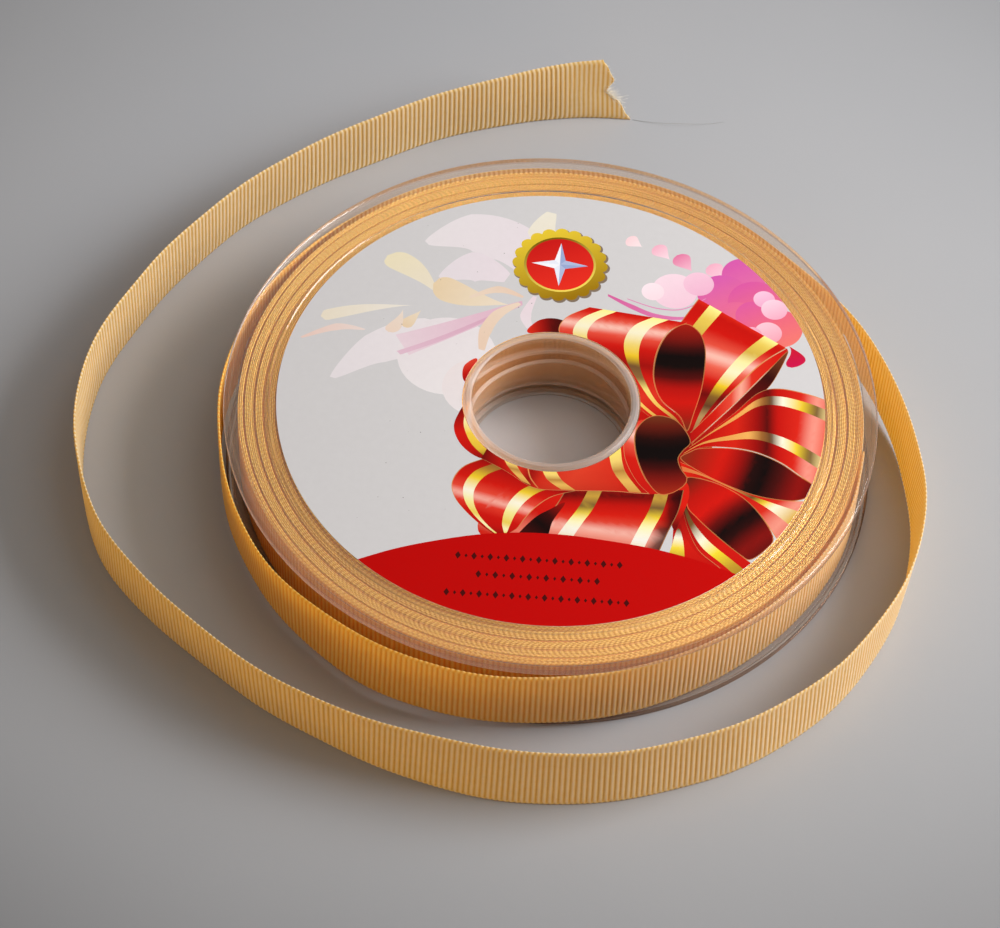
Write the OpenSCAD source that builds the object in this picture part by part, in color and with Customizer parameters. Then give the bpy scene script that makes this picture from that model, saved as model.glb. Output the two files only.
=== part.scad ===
// Ribbon spool: two clear half spools that telescope into each other at the hub,
// a printed ring label, a wound ribbon taped to the hub at its inner end, and the
// ribbon's loose end, which leaves the winding, goes once round it and then lies
// on edge in a wide open loop around the spool.
// Frame: origin at the centre of the underside, +Z up along the hub's axis.

/* [Flanges] */
// Outside diameter of both flanges
flange_d = 112; // [108:1:130]
// Thickness of a flange's disc
disc_t = 0.85; // [0.8:0.05:1.2]
// Height of the rim bead and of the hub lip above the disc's outer face
bead_h = 0.6; // [0.4:0.05:1]
// Width of the rim bead
bead_w = 1.1; // [0.9:0.1:1.4]
// Diameter of the fine moulded ring around the label
ring_d = 96.8; // [96:0.2:100]

/* [Hub] */
// Diameter of the bore right through the hub
bore_d = 27.4; // [26:0.2:27.6]
// Outside diameter of the hub, which the ribbon is wound on
hub_d = 30; // [29.8:0.1:30.2]
// Height of the inner sleeve on the lower half, measured from the underside
sleeve_h = 11; // [9:0.5:12]
// Height at which the upper half's outer skirt ends, from the underside
skirt_z = 3.4; // [3.2:0.1:4]
// Height of the arched cut-outs in the skirt's lower edge
arch_h = 5.2; // [2:0.1:6]

/* [Label] */
// Outside diameter of the printed ring label
label_d = 94; // [90:0.5:95]
// Diameter of the hole in the label
label_hole_d = 30.6; // [30.4:0.1:32]
// Thickness of the label paper
label_t = 0.12; // [0.08:0.01:0.2]

/* [Ribbon] */
// Width of the ribbon
ribbon_w = 12.7; // [9:0.1:16]
// Thickness of the free ribbon over its cross ribs
ribbon_t = 0.4; // [0.3:0.05:0.5]
// Space left between the ribbon's edges and each flange
side_gap = 0.3; // [0.3:0.05:0.6]
// Depth of the winding's outer turn below the flanges' edge
pack_depth = 2.2; // [2.2:0.1:4]
// Width of the tape that holds the inner end on the hub, around the hub
tape_w = 19; // [12:1:24]

/* [Hidden] */
$fn = 128;
flange_r = flange_d / 2;
bore_r = bore_d / 2;
hub_r = hub_d / 2;
gap = ribbon_w + 2 * side_gap;              // clear space between the discs
height = 2 * (bead_h + disc_t) + gap;       // whole spool
low_in = bead_h + disc_t;                   // inner face of the lower disc
high_in = low_in + gap;                     // inner face of the upper disc
high_out = high_in + disc_t;                // outer face of the upper disc
pack_r = flange_r - pack_depth;
tape_t = 0.07;
core_r = hub_r + 0.12;                      // the innermost turn
lap_r = (bore_r + hub_r) / 2;               // where sleeve and skirt meet
ribbon_z = low_in + side_gap;               // lower edge of the wound ribbon

// The loose end's route, clockwise seen from above. Each point is
// [angle in degrees, distance outside the flange's edge, lean of the upper edge],
// in mm. The first turn lies near the winding and bulges out at the front, and
// the rest is the wide loop that stands on the table.
ROUTE = [
    [0, -1.5, 0], [20, -1.5, 0], [40, -1.5, 0], [60, -1, 0], [80, 0, -0.5],
    [100, 1.25, -0.5], [120, 2, -0.5], [140, 2, 0.5], [160, 1.25, 0], [180, 1, 0],
    [200, 0, 0], [220, -1, 0], [240, -1.5, 0], [260, -1.5, 0], [280, -1.5, 0],
    [300, -1.5, 0], [320, -1, 0], [340, 2.5, 0], [360, 6.5, 0.5], [380, 10.75, 1],
    [400, 13.5, 0], [420, 14.5, -1.25], [440, 14.5, -1.25], [460, 14, -1.5],
    [480, 14.75, 0.25], [500, 18, 1], [520, 23.75, 0], [540, 25, 0.5],
    [560, 21.5, 0], [580, 19.5, -1], [600, 19.5, 0], [620, 23, 0.5], [640, 29, 3.5]
];
FIRST_DEG = 15;                             // where it leaves the winding
LAST_DEG = 634;                             // where it is cut
DROP_FROM = 332;                            // it steps off the lower flange
DROP_TO = 358;                              // and stands on the table from here
RINGS = 80;

// A smooth curve through four evenly spaced values
function through(a, b, c, d, t) =
    b + 0.5 * t * (c - a + t * (2 * a - 5 * b + 4 * c - d + t * (3 * (b - c) + d - a)));
function pick(i, k) = ROUTE[min(max(i, 0), len(ROUTE) - 1)][k];
function along(deg, k) =
    let (i = floor(deg / 20), t = deg / 20 - i)
    through(pick(i - 1, k), pick(i, k), pick(i + 1, k), pick(i + 2, k), t);
function ease(t) = let (s = min(max(t, 0), 1)) s * s * (3 - 2 * s);
function foot(deg) = ribbon_z * (1 - ease((deg - DROP_FROM) / (DROP_TO - DROP_FROM)));
function middle(deg) =
    let (r = flange_r + along(deg, 1)) [r * cos(-deg), r * sin(-deg)];
function sideways(deg) =
    let (a = middle(deg - 0.5), b = middle(deg + 0.5), v = b - a, n = norm(v))
    [-v[1] / n, v[0] / n];
// One ring of the strip: eight corners, with its two edges slightly narrowed
function strip_ring(deg) =
    let (c = middle(deg), n = sideways(deg), lean = along(deg, 2), z0 = foot(deg))
    [for (p = [[-1, 0.03], [-1, 0.97], [-0.4, 1], [0.4, 1],
               [1, 0.97], [1, 0.03], [0.4, 0], [-0.4, 0]])
        let (off = p[0] * ribbon_t / 2 + lean * (p[1] - 0.5))
        [c[0] + n[0] * off, c[1] + n[1] * off, z0 + p[1] * ribbon_w]];

// A ring-shaped solid with a rectangular section
module hoop(r0, r1, z0, z1) {
    rotate_extrude() translate([r0, z0]) square([r1 - r0, z1 - z0]);
}

// A flange with its disc, rounded rim bead and fine label ring, drawn with the
// outer face down; the hub is added by each half
module flange_section() {
    polygon([
        [bore_r + 0.3, 0], [hub_r - 0.4, 0], [hub_r, 0.4],
        [hub_r, bead_h],
        [ring_d / 2 - 0.3, bead_h], [ring_d / 2 - 0.1, bead_h - 0.2],
        [ring_d / 2 + 0.1, bead_h - 0.2], [ring_d / 2 + 0.3, bead_h],
        [flange_r - bead_w, bead_h], [flange_r - bead_w + 0.1, 0.15],
        [flange_r - bead_w + 0.25, 0], [flange_r - 0.45, 0],
        [flange_r - 0.13, 0.13], [flange_r, 0.45],
        [flange_r, bead_h + disc_t - 0.2], [flange_r - 0.2, bead_h + disc_t],
        [bore_r, bead_h + disc_t], [bore_r, 0.3]
    ]);
}

module upper_flange() {
    color([0.86, 0.85, 0.86, 0.45]) difference() {
        union() {
            translate([0, 0, height]) mirror([0, 0, 1])
                rotate_extrude() flange_section();
            // full wall of the hub, down to the top of the lower half's sleeve
            hoop(bore_r, hub_r, sleeve_h + 0.1, high_in);
            // outer skirt that slides over the sleeve
            hoop(lap_r + 0.02, hub_r, skirt_z, sleeve_h + 0.1);
        }
        // three arched cut-outs leave three broad fingers
        for (a = [35, 155, 275]) rotate([0, 0, a]) {
            rotate_extrude(angle = 66)
                translate([lap_r - 0.2, skirt_z - 1]) square([hub_r, 1 + arch_h * 0.6]);
            rotate([0, 0, 9]) rotate_extrude(angle = 48)
                translate([lap_r - 0.2, skirt_z - 1]) square([hub_r, 1 + arch_h]);
        }
    }
}

module lower_flange() {
    color([0.84, 0.83, 0.84, 0.45]) union() {
        rotate_extrude() flange_section();
        // foot of the hub at full thickness, and the thin inner sleeve above it
        hoop(bore_r, hub_r, low_in, skirt_z - 0.1);
        hoop(bore_r, lap_r, skirt_z - 0.1, sleeve_h);
    }
}

module front_label() {
    color([0.93, 0.93, 0.94])
        hoop(label_hole_d / 2, label_d / 2, high_out, high_out + label_t);
}

module ribbon_pack() {
    color([0.95, 0.72, 0.36])
        hoop(core_r, pack_r, ribbon_z, ribbon_z + ribbon_w);
}

module starting_tape() {
    color([0.96, 0.94, 0.86, 0.6]) rotate([0, 0, 25])
        rotate_extrude(angle = tape_w / hub_r * 180 / PI)
            translate([hub_r, ribbon_z + 0.4])
                square([tape_t, ribbon_w - 0.8]);
}

module ribbon_tail() {
    rings = [for (i = [0 : RINGS - 1])
        strip_ring(FIRST_DEG + (LAST_DEG - FIRST_DEG) * i / (RINGS - 1))];
    points = [for (r = rings) each r];
    sides = [for (i = [0 : RINGS - 2], j = [0 : 7])
        let (a = i * 8 + j, b = i * 8 + (j + 1) % 8)
        each [[a, b, b + 8], [a, b + 8, a + 8]]];
    ends = [[for (j = [7 : -1 : 0]) j], [for (j = [0 : 7]) (RINGS - 1) * 8 + j]];
    color([0.96, 0.76, 0.40]) polyhedron(points, concat(sides, ends));
}

upper_flange();
lower_flange();
front_label();
ribbon_pack();
starting_tape();
ribbon_tail();
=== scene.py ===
"""Looks of the ribbon spool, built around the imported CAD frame. Lengths in the helpers are in mm, and meshes are made in metres."""

import math

import bpy
import numpy as np
from mathutils import Matrix, Vector
from mathutils.bvhtree import BVHTree
from mathutils.geometry import delaunay_2d_cdt


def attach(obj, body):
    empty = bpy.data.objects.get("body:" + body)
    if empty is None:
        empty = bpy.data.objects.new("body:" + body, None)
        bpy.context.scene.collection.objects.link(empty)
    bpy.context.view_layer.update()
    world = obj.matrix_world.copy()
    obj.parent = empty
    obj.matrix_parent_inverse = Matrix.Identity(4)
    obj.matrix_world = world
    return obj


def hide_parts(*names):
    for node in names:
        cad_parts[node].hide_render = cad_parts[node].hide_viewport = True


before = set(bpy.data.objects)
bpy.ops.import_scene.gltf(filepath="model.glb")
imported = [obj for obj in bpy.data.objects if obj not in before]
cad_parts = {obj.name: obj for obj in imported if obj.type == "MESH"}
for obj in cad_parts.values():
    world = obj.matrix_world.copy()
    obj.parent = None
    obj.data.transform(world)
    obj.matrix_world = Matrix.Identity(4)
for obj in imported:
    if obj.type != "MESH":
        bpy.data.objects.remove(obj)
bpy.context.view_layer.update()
MM = 0.001
RNG = np.random.default_rng(20260)

# ------------------------------------------------------------------ sizes, as in part.scad
FLANGE_R, BORE_R, HUB_R = 56.0, 13.7, 15.0
HEIGHT, LOW_IN, HIGH_IN, HIGH_OUT = 16.2, 1.45, 14.75, 15.6
SKIRT_Z, SLEEVE_Z, LAP_R = 3.4, 11.0, 14.35
RIBBON_W, RIBBON_Z, CORE_R, PACK_R = 12.7, 1.75, 15.12, 53.8
LABEL_R, LABEL_HOLE = 47.0, 15.3
RIB = 0.905  # one cross rib of the ribbon
ROUTE = np.array([
    [0, -1.5, 0], [20, -1.5, 0], [40, -1.5, 0], [60, -1, 0], [80, 0, -0.5],
    [100, 1.25, -0.5], [120, 2, -0.5], [140, 2, 0.5], [160, 1.25, 0], [180, 1, 0],
    [200, 0, 0], [220, -1, 0], [240, -1.5, 0], [260, -1.5, 0], [280, -1.5, 0],
    [300, -1.5, 0], [320, -1, 0], [340, 2.5, 0], [360, 6.5, 0.5], [380, 10.75, 1],
    [400, 13.5, 0], [420, 14.5, -1.25], [440, 14.5, -1.25], [460, 14, -1.5],
    [480, 14.75, 0.25], [500, 18, 1], [520, 23.75, 0], [540, 25, 0.5],
    [560, 21.5, 0], [580, 19.5, -1], [600, 19.5, 0], [620, 23, 0.5], [640, 29, 3.5],
], float)
FIRST_DEG, LAST_DEG, DROP_FROM, DROP_TO = 15.0, 634.0, 332.0, 358.0


# ------------------------------------------------------------------ the loose end's route
def smooth(t):
    t = np.clip(t, 0, 1)
    return t * t * (3 - 2 * t)


def along(u, k):
    """Column k of the route at angle u, on the same curve as the CAD tail."""
    u = np.asarray(u, float)
    i = np.floor(u / 20).astype(int)
    t = u / 20 - i
    a, b, c, d = (ROUTE[np.clip(i + j, 0, len(ROUTE) - 1), k] for j in (-1, 0, 1, 2))
    return b + 0.5 * t * (c - a + t * (2 * a - 5 * b + 4 * c - d + t * (3 * (b - c) + d - a)))


def middle(u):
    r = FLANGE_R + along(u, 1)
    a = np.radians(u)
    return np.stack([r * np.cos(a), -r * np.sin(a)], -1)


def outward(u):
    v = middle(u + 0.5) - middle(u - 0.5)
    v /= np.linalg.norm(v, axis=-1, keepdims=True)
    return np.stack([-v[..., 1], v[..., 0]], -1)


def foot(u):
    return RIBBON_Z * (1 - smooth((u - DROP_FROM) / (DROP_TO - DROP_FROM)))


# ------------------------------------------------------------------ camera
def make_camera():
    elevation, roll, distance = math.radians(52.26), math.radians(3.642), 0.61172
    place = Vector((0, -distance * math.cos(elevation), distance * math.sin(elevation)))
    ahead = -place.normalized()
    right = Vector((1, 0, 0))
    up = right.cross(ahead)
    x = right * math.cos(roll) + up * math.sin(roll)
    y = -right * math.sin(roll) + up * math.cos(roll)
    data = bpy.data.cameras.new("camera")
    data.lens, data.sensor_width, data.sensor_fit = 126.0, 36.0, "HORIZONTAL"
    data.shift_x, data.shift_y = -0.0478, -0.0071
    data.clip_start, data.clip_end = 0.02, 20
    obj = bpy.data.objects.new("camera", data)
    bpy.context.scene.collection.objects.link(obj)
    m = Matrix((x, y, -ahead)).transposed().to_4x4()
    m.translation = place
    obj.matrix_world = m
    bpy.context.scene.camera = obj


make_camera()


# ------------------------------------------------------------------ mesh helpers
def build(name, co, faces, mats, smooth_faces=True, sharp=None, face_mat=None, floats=None, colours=None):
    """A mesh object from points in mm. floats are per-point attributes, and colours one colour for each face corner."""
    me = bpy.data.meshes.new(name)
    co = np.asarray(co, float).reshape(-1, 3)
    faces = [list(map(int, f)) for f in faces]
    me.from_pydata((co * MM).tolist(), [], faces)
    for m in mats:
        me.materials.append(m)
    if face_mat is not None:
        me.polygons.foreach_set("material_index", np.asarray(face_mat, np.int32))
    for key, value in (floats or {}).items():
        me.attributes.new(key, "FLOAT", "POINT").data.foreach_set("value", np.asarray(value, np.float32).ravel())
    if colours is not None:
        layer = me.color_attributes.new("art", "FLOAT_COLOR", "CORNER")
        layer.data.foreach_set("color", np.asarray(colours, np.float32).ravel())
        me.color_attributes.active_color = layer
    me.update()
    if smooth_faces:
        me.shade_smooth()
    if sharp is not None:
        me.set_sharp_from_angle(angle=math.radians(sharp))
    obj = bpy.data.objects.new(name, me)
    bpy.context.scene.collection.objects.link(obj)
    return obj


def volume_sign(co, faces):
    """Positive if the faces look outwards."""
    co = np.asarray(co, float).reshape(-1, 3)
    total = 0.0
    quads = np.array([f for f in faces if len(f) == 4], int)
    tris = [f for f in faces if len(f) == 3]
    if len(quads):
        a, b, c, d = (co[quads[:, k]] for k in range(4))
        total += np.einsum("ij,ij->i", a, np.cross(b, c)).sum() + np.einsum("ij,ij->i", a, np.cross(c, d)).sum()
    if tris:
        t = np.array(tris, int)
        a, b, c = (co[t[:, k]] for k in range(3))
        total += np.einsum("ij,ij->i", a, np.cross(b, c)).sum()
    return total


def grid_faces(n, m, wrap_n, wrap_m):
    """Quads between the points of an n by m grid."""
    i = np.arange(n if wrap_n else n - 1)
    j = np.arange(m if wrap_m else m - 1)
    i, j = np.meshgrid(i, j, indexing="ij")
    i2, j2 = (i + 1) % n, (j + 1) % m
    return np.stack([i * m + j, i2 * m + j, i2 * m + j2, i * m + j2], -1).reshape(-1, 4)


def strip_solid(rings):
    """Faces of a closed strip: rings (n, m, 3) joined along n, with a fan of quads at each end."""
    n, m = rings.shape[:2]
    faces = grid_faces(n, m, False, True).tolist()
    half = m // 2
    for base, flip in ((0, False), ((n - 1) * m, True)):
        for k in range(half - 1):  # ladder across the ring, whose points run up one side and down the other
            q = [base + k, base + k + 1, base + m - 2 - k, base + m - 1 - k]
            if q[1] == q[2]:
                q = [q[0], q[1], q[3]]
            faces.append(q[::-1] if flip else q)
    if volume_sign(rings, faces) < 0:
        faces = [f[::-1] for f in faces]
    return faces


def rounded(corners, seg=4, guard=0.05):
    """A closed outline from (r, z, radius) corners, each rounded, with guard points that keep flats flat when shaded smooth."""
    out = []
    n = len(corners)
    for i, (x, y, rad) in enumerate(corners):
        p = np.array((x, y), float)
        a, b = np.array(corners[i - 1][:2], float), np.array(corners[(i + 1) % n][:2], float)
        la, lb = np.linalg.norm(a - p), np.linalg.norm(b - p)
        da, db = (a - p) / la, (b - p) / lb
        angle = math.acos(float(np.clip(da @ db, -1, 1)))
        if rad <= 0 or angle > math.radians(178):
            out.append(p)
            continue
        t = min(rad / math.tan(angle / 2), 0.49 * la, 0.49 * lb)
        rad = t * math.tan(angle / 2)
        mid = (da + db) / np.linalg.norm(da + db)
        centre = p + mid * rad / math.sin(angle / 2)
        pa, pb = p + da * t, p + db * t
        if la > 2 * t + 3 * guard:
            out.append(pa + da * guard)
        va, vb = pa - centre, pb - centre
        turn = math.atan2(va[0] * vb[1] - va[1] * vb[0], va @ vb)
        for k in range(seg + 1):
            w = turn * k / seg
            out.append(centre + np.array((va[0] * math.cos(w) - va[1] * math.sin(w), va[0] * math.sin(w) + va[1] * math.cos(w))))
        if lb > 2 * t + 3 * guard:
            out.append(pb + db * guard)
    return np.array(out)


# ------------------------------------------------------------------ material helpers
class Nodes:
    def __init__(self, name):
        self.mat = bpy.data.materials.new(name)
        self.mat.use_nodes = True
        self.tree = self.mat.node_tree
        self.tree.nodes.clear()
        self.out = self.tree.nodes.new("ShaderNodeOutputMaterial")

    def add(self, kind, ins=None, **props):
        n = self.tree.nodes.new("ShaderNode" + kind)
        for k, v in props.items():
            setattr(n, k, v)
        for k, v in (ins or {}).items():
            s = n.inputs[k]
            if isinstance(v, bpy.types.NodeSocket):
                self.tree.links.new(v, s)
            else:
                s.default_value = v
        return n

    def math(self, op, a, b=0.0, c=None, clamp=False):
        n = self.add("Math", {0: a, 1: b} if c is None else {0: a, 1: b, 2: c}, operation=op, use_clamp=clamp)
        return n.outputs[0]

    def mix(self, fac, a, b, blend="MIX"):
        n = self.add("Mix", None, data_type="RGBA", blend_type=blend)
        for s, v in ((n.inputs[0], fac), (n.inputs[6], a), (n.inputs[7], b)):
            if isinstance(v, bpy.types.NodeSocket):
                self.tree.links.new(v, s)
            else:
                s.default_value = v
        return n.outputs[2]

    def attr(self, name):
        return self.add("Attribute", attribute_name=name).outputs["Fac"]

    def noise(self, scale, detail=2.0, rough=0.5, vector=None, dist=0.0):
        ins = {"Scale": scale, "Detail": detail, "Roughness": rough, "Distortion": dist}
        if vector is not None:
            ins["Vector"] = vector
        else:
            ins["Vector"] = self.add("TexCoord").outputs["Object"]
        return self.add("TexNoise", ins).outputs[0]

    def ramp(self, fac, stops):
        n = self.add("ValToRGB", {0: fac})
        e = n.color_ramp.elements
        e[0].position, e[0].color = stops[0][0], stops[0][1]
        e[1].position, e[1].color = stops[-1][0], stops[-1][1]
        for p, c in stops[1:-1]:
            e.new(p).color = c
        return n.outputs[0]

    def bump(self, height, strength, distance, normal=None):
        ins = {"Height": height, "Strength": strength, "Distance": distance}
        if normal is not None:
            ins["Normal"] = normal
        return self.add("Bump", ins).outputs[0]

    def surface(self, socket):
        self.tree.links.new(socket, self.out.inputs["Surface"])
        return self.mat


def rgb(r, g, b):
    return (r, g, b, 1.0)


def ribbon_material(name, rib_bump, through, tones, lit, spec=0.35, deep=0.0, painted_bounce=None):
    """Grosgrain: a painted highlight on the crests and painted shade in the valleys across the ribbon, fine warp
    threads along it, light through the cloth.

    The last argument gives painted bounce light: deeper orange tones near the spool, standing in for the light that
    turns throw on each other; they fade out along the loose end.
    """
    m = Nodes(name)
    s, h = m.attr("along_mm"), m.attr("across_mm")
    wave = m.math("ABSOLUTE", m.math("COSINE", m.math("MULTIPLY", s, math.pi / RIB)))
    crest = m.math("POWER", wave, 1.4)
    bead = m.math("ABSOLUTE", m.math("COSINE", m.math("MULTIPLY", m.math("ADD", s, 0.27), math.pi / RIB)))
    edge = m.math("SUBTRACT", 1.0, m.math("MULTIPLY", m.math("MINIMUM", h, m.math("SUBTRACT", RIBBON_W, h)), 1 / 0.75), clamp=True)
    body = m.math("MULTIPLY", crest, m.math("SUBTRACT", 1.0, edge))
    crest_e = m.math("ADD", body, m.math("MULTIPLY", edge, m.math("POWER", bead, 1.3)))
    slow = m.noise(60.0, 2.0)
    fine = m.noise(900.0, 3.0, 0.6)
    t = m.math("ADD", m.math("MULTIPLY", crest_e, 0.82), m.math("MULTIPLY", fine, 0.3), clamp=True)
    # painted highlight and shade: the crests take the pale tone, the valleys the deep one
    col = m.ramp(t, [(0.0, rgb(*tones[0])), (0.5, rgb(*tones[1])), (1.0, rgb(*tones[2]))])
    # painted bounce light: near the spool the cloth takes deeper orange tones, weighted along the ribbon
    if painted_bounce:
        near = m.ramp(t, [(0.0, rgb(*painted_bounce[0])), (0.5, rgb(*painted_bounce[1])), (1.0, rgb(*painted_bounce[2]))])
        place = m.math("DIVIDE", m.math("ADD", s, 100.0), 400.0, clamp=True)
        painted_bounce_weight = [(0.08, 1.0), (0.25, 0.15), (0.36, 0.0), (0.41, 0.3), (0.48, 0.85), (0.54, 1.0), (0.75, 1.0), (1.0, 0.0)]
        col = m.mix(m.ramp(place, [(at, rgb(v, v, v)) for at, v in painted_bounce_weight]), col, near)
    col = m.mix(m.math("MULTIPLY", slow, 0.12), col, rgb(*tones[1]))
    glow = m.mix(m.math("ADD", 0.35, m.math("MULTIPLY", crest_e, 0.65), clamp=True), rgb(*[c * 0.62 for c in lit]), rgb(*lit))
    # painted shade: the winding's low turns are darkened towards deep orange, as shade in the grooves between turns
    if deep:
        col = m.mix(m.math("MULTIPLY", m.attr("low_mm"), deep, clamp=True), col, rgb(0.72, 0.19, 0.01))
    warp = m.math("SINE", m.math("MULTIPLY", h, 2 * math.pi / 0.21))
    height = m.math("ADD", m.math("MULTIPLY", warp, 0.018), m.math("MULTIPLY", fine, 0.05))
    if rib_bump:
        height = m.math("ADD", height, m.math("MULTIPLY", crest, rib_bump))
    normal = m.bump(height, 0.55, 0.001)
    rough = m.math("ADD", 0.42, m.math("MULTIPLY", fine, 0.2))
    cloth = m.add("BsdfPrincipled", {"Base Color": col, "Roughness": rough, "Normal": normal, "Specular IOR Level": spec, "Sheen Weight": 0.2, "Sheen Roughness": 0.4, "Sheen Tint": rgb(1.0, 0.88, 0.66)})
    back = m.add("BsdfTranslucent", {"Color": m.mix(0.12, glow, col), "Normal": normal})
    both = m.add("MixShader", {0: through, 1: cloth.outputs[0], 2: back.outputs[0]})
    return m.surface(both.outputs[0])


def plastic_material(name, rough, tint, haze=0.0, scratch=0.15, milk=(0.86, 0.82, 0.79), thin=False, ribs=False):
    """Clear moulded plastic, which lets the lamps through: faint swirls, scratches and a little haze."""
    m = Nodes(name)
    swirl = m.noise(35.0, 3.0, 0.5, dist=0.6)
    fine = m.noise(420.0, 3.0, 0.6)
    co = m.add("TexCoord").outputs["Object"]
    streak = m.noise(1.0, 2.0, 0.5, vector=m.add("Mapping", {"Vector": co, "Rotation": (0, 0, 0.6), "Scale": (90.0, 1500.0, 90.0)}).outputs[0])
    height = m.math("ADD", m.math("MULTIPLY", swirl, 0.5), m.math("ADD", m.math("MULTIPLY", fine, 0.06), m.math("MULTIPLY", streak, 0.05)))
    normal = m.bump(height, scratch, 0.0006)
    r = m.math("ADD", rough, m.math("MULTIPLY", m.math("POWER", streak, 3.0), 0.12))
    if thin:
        through = m.add("BsdfTransparent", {"Color": tint})
        gloss = m.add("BsdfAnisotropic", {"Color": rgb(0.9, 0.9, 0.9), "Roughness": r, "Normal": normal})
        face = m.add("Fresnel", {"IOR": 1.35, "Normal": normal}).outputs[0]
        body = m.add("MixShader", {0: face, 1: through.outputs[0], 2: gloss.outputs[0]}).outputs[0]
    else:
        body = m.add("BsdfPrincipled", {"Base Color": tint, "Roughness": r, "Normal": normal, "IOR": 1.49, "Transmission Weight": 1.0}).outputs[0]
    if haze > 0:
        tone = rgb(*milk)
        if ribs:
            # the first turn's ribs, blurred through the milky wall, painted into the haze: pale crests and shaded
            # valleys as painted highlight and shade
            part = m.add("SeparateXYZ", {"Vector": co}).outputs
            round_mm = m.math("MULTIPLY", m.math("ARCTAN2", part[1], part[0]), 15.25)
            crest = m.math("ABSOLUTE", m.math("COSINE", m.math("MULTIPLY", round_mm, math.pi / RIB)))
            tone = m.mix(crest, rgb(*[c * k for c, k in zip(milk, (0.62, 0.42, 0.3))]), tone)
        milky = m.add("BsdfPrincipled", {"Base Color": tone, "Roughness": 0.4, "Normal": normal})
        lit = m.add("BsdfTranslucent", {"Color": tone})
        soft = m.add("MixShader", {0: 0.5, 1: milky.outputs[0], 2: lit.outputs[0]})
        body = m.add("MixShader", {0: haze, 1: body, 2: soft.outputs[0]}).outputs[0]
    clear = m.add("BsdfTransparent", {"Color": rgb(0.93, 0.92, 0.91)})
    shadow = m.add("LightPath").outputs["Is Shadow Ray"]
    return m.surface(m.add("MixShader", {0: shadow, 1: body, 2: clear.outputs[0]}).outputs[0])


def label_material():
    m = Nodes("label_print")
    art = m.add("VertexColor", layer_name="art").outputs[0]
    fibre = m.noise(700.0, 4.0, 0.6)
    blotch = m.noise(45.0, 2.0)
    col = m.mix(m.math("MULTIPLY", fibre, 0.16), art, rgb(0.62, 0.60, 0.59), "MULTIPLY")
    height = m.math("ADD", m.math("MULTIPLY", fibre, 0.03), m.math("MULTIPLY", blotch, 0.25))
    normal = m.bump(height, 0.12, 0.0008)
    rough = m.math("ADD", 0.33, m.math("MULTIPLY", fibre, 0.14))
    p = m.add("BsdfPrincipled", {"Base Color": col, "Roughness": rough, "Normal": normal, "Specular IOR Level": 0.1})
    thin = m.add("BsdfTransparent", {"Color": rgb(0.66, 0.60, 0.54)})
    return m.surface(m.add("MixShader", {0: m.add("LightPath").outputs["Is Shadow Ray"], 1: p.outputs[0], 2: thin.outputs[0]}).outputs[0])


def paper_material():
    m = Nodes("label_paper_edge")
    fibre = m.noise(900.0, 5.0, 0.65)
    col = m.ramp(fibre, [(0.3, rgb(0.62, 0.6, 0.57)), (0.7, rgb(0.8, 0.79, 0.77))])
    p = m.add("BsdfPrincipled", {"Base Color": col, "Roughness": 0.8, "Normal": m.bump(fibre, 0.3, 0.0002)})
    thin = m.add("BsdfTransparent", {"Color": rgb(0.92, 0.86, 0.80)})
    return m.surface(m.add("MixShader", {0: m.add("LightPath").outputs["Is Shadow Ray"], 1: p.outputs[0], 2: thin.outputs[0]}).outputs[0])


def tape_material():
    m = Nodes("tape")
    n = m.noise(260.0, 3.0, 0.6)
    col = m.ramp(n, [(0.3, rgb(0.80, 0.70, 0.50)), (0.7, rgb(0.90, 0.84, 0.68))])
    p = m.add("BsdfPrincipled", {"Base Color": col, "Roughness": 0.45, "Normal": m.bump(n, 0.25, 0.0003)})
    t = m.add("BsdfTranslucent", {"Color": rgb(0.9, 0.8, 0.6)})
    mixed = m.add("MixShader", {0: 0.4, 1: p.outputs[0], 2: t.outputs[0]})
    clear = m.add("BsdfTransparent", {"Color": rgb(0.96, 0.93, 0.86)})
    return m.surface(m.add("MixShader", {0: 0.45, 1: mixed.outputs[0], 2: clear.outputs[0]}).outputs[0])


def thread_material(name, low, high):
    m = Nodes(name)
    n = m.noise(800.0, 2.0)
    col = m.ramp(n, [(0.2, rgb(*low)), (0.8, rgb(*high))])
    p = m.add("BsdfPrincipled", {"Base Color": col, "Roughness": 0.6, "Sheen Weight": 0.3})
    t = m.add("BsdfTranslucent", {"Color": rgb(*high)})
    return m.surface(m.add("MixShader", {0: 0.4, 1: p.outputs[0], 2: t.outputs[0]}).outputs[0])


def floor_material():
    m = Nodes("table")
    n = m.noise(14.0, 4.0, 0.55)
    f = m.noise(500.0, 3.0, 0.6)
    tone = m.ramp(n, [(0.3, rgb(0.395, 0.404, 0.426)), (0.7, rgb(0.412, 0.419, 0.440))])
    # painted shade: the table is painted darker, by up to almost half, away from a point near the spool, for the
    # light's fall-off and the darker corners
    away = m.add("VectorMath", {0: m.add("TexCoord").outputs["Object"], 1: (-0.008, 0.03, 0.0)}, operation="DISTANCE").outputs["Value"]
    painted_falloff = m.math("POWER", m.math("DIVIDE", away, 0.151, clamp=True), 3.0)
    col = m.mix(m.math("MULTIPLY", painted_falloff, 0.45), tone, rgb(0.0, 0.0, 0.0))
    # light that comes down through the hub into the bore
    off = m.add("VectorMath", {0: m.add("TexCoord").outputs["Object"], 1: (0.006, 0.006, 0.0)}, operation="DISTANCE").outputs["Value"]
    near = m.math("SUBTRACT", 1.0, m.math("POWER", m.math("DIVIDE", off, 0.02, clamp=True), 2.0))
    col = m.mix(m.math("POWER", near, 2.0), col, rgb(0.574, 0.645, 0.714))
    p = m.add("BsdfPrincipled", {"Base Color": col, "Roughness": m.math("ADD", 0.30, m.math("MULTIPLY", f, 0.08)), "Normal": m.bump(f, 0.04, 0.0004), "Specular IOR Level": 0.5})
    return m.surface(p.outputs[0])


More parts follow.
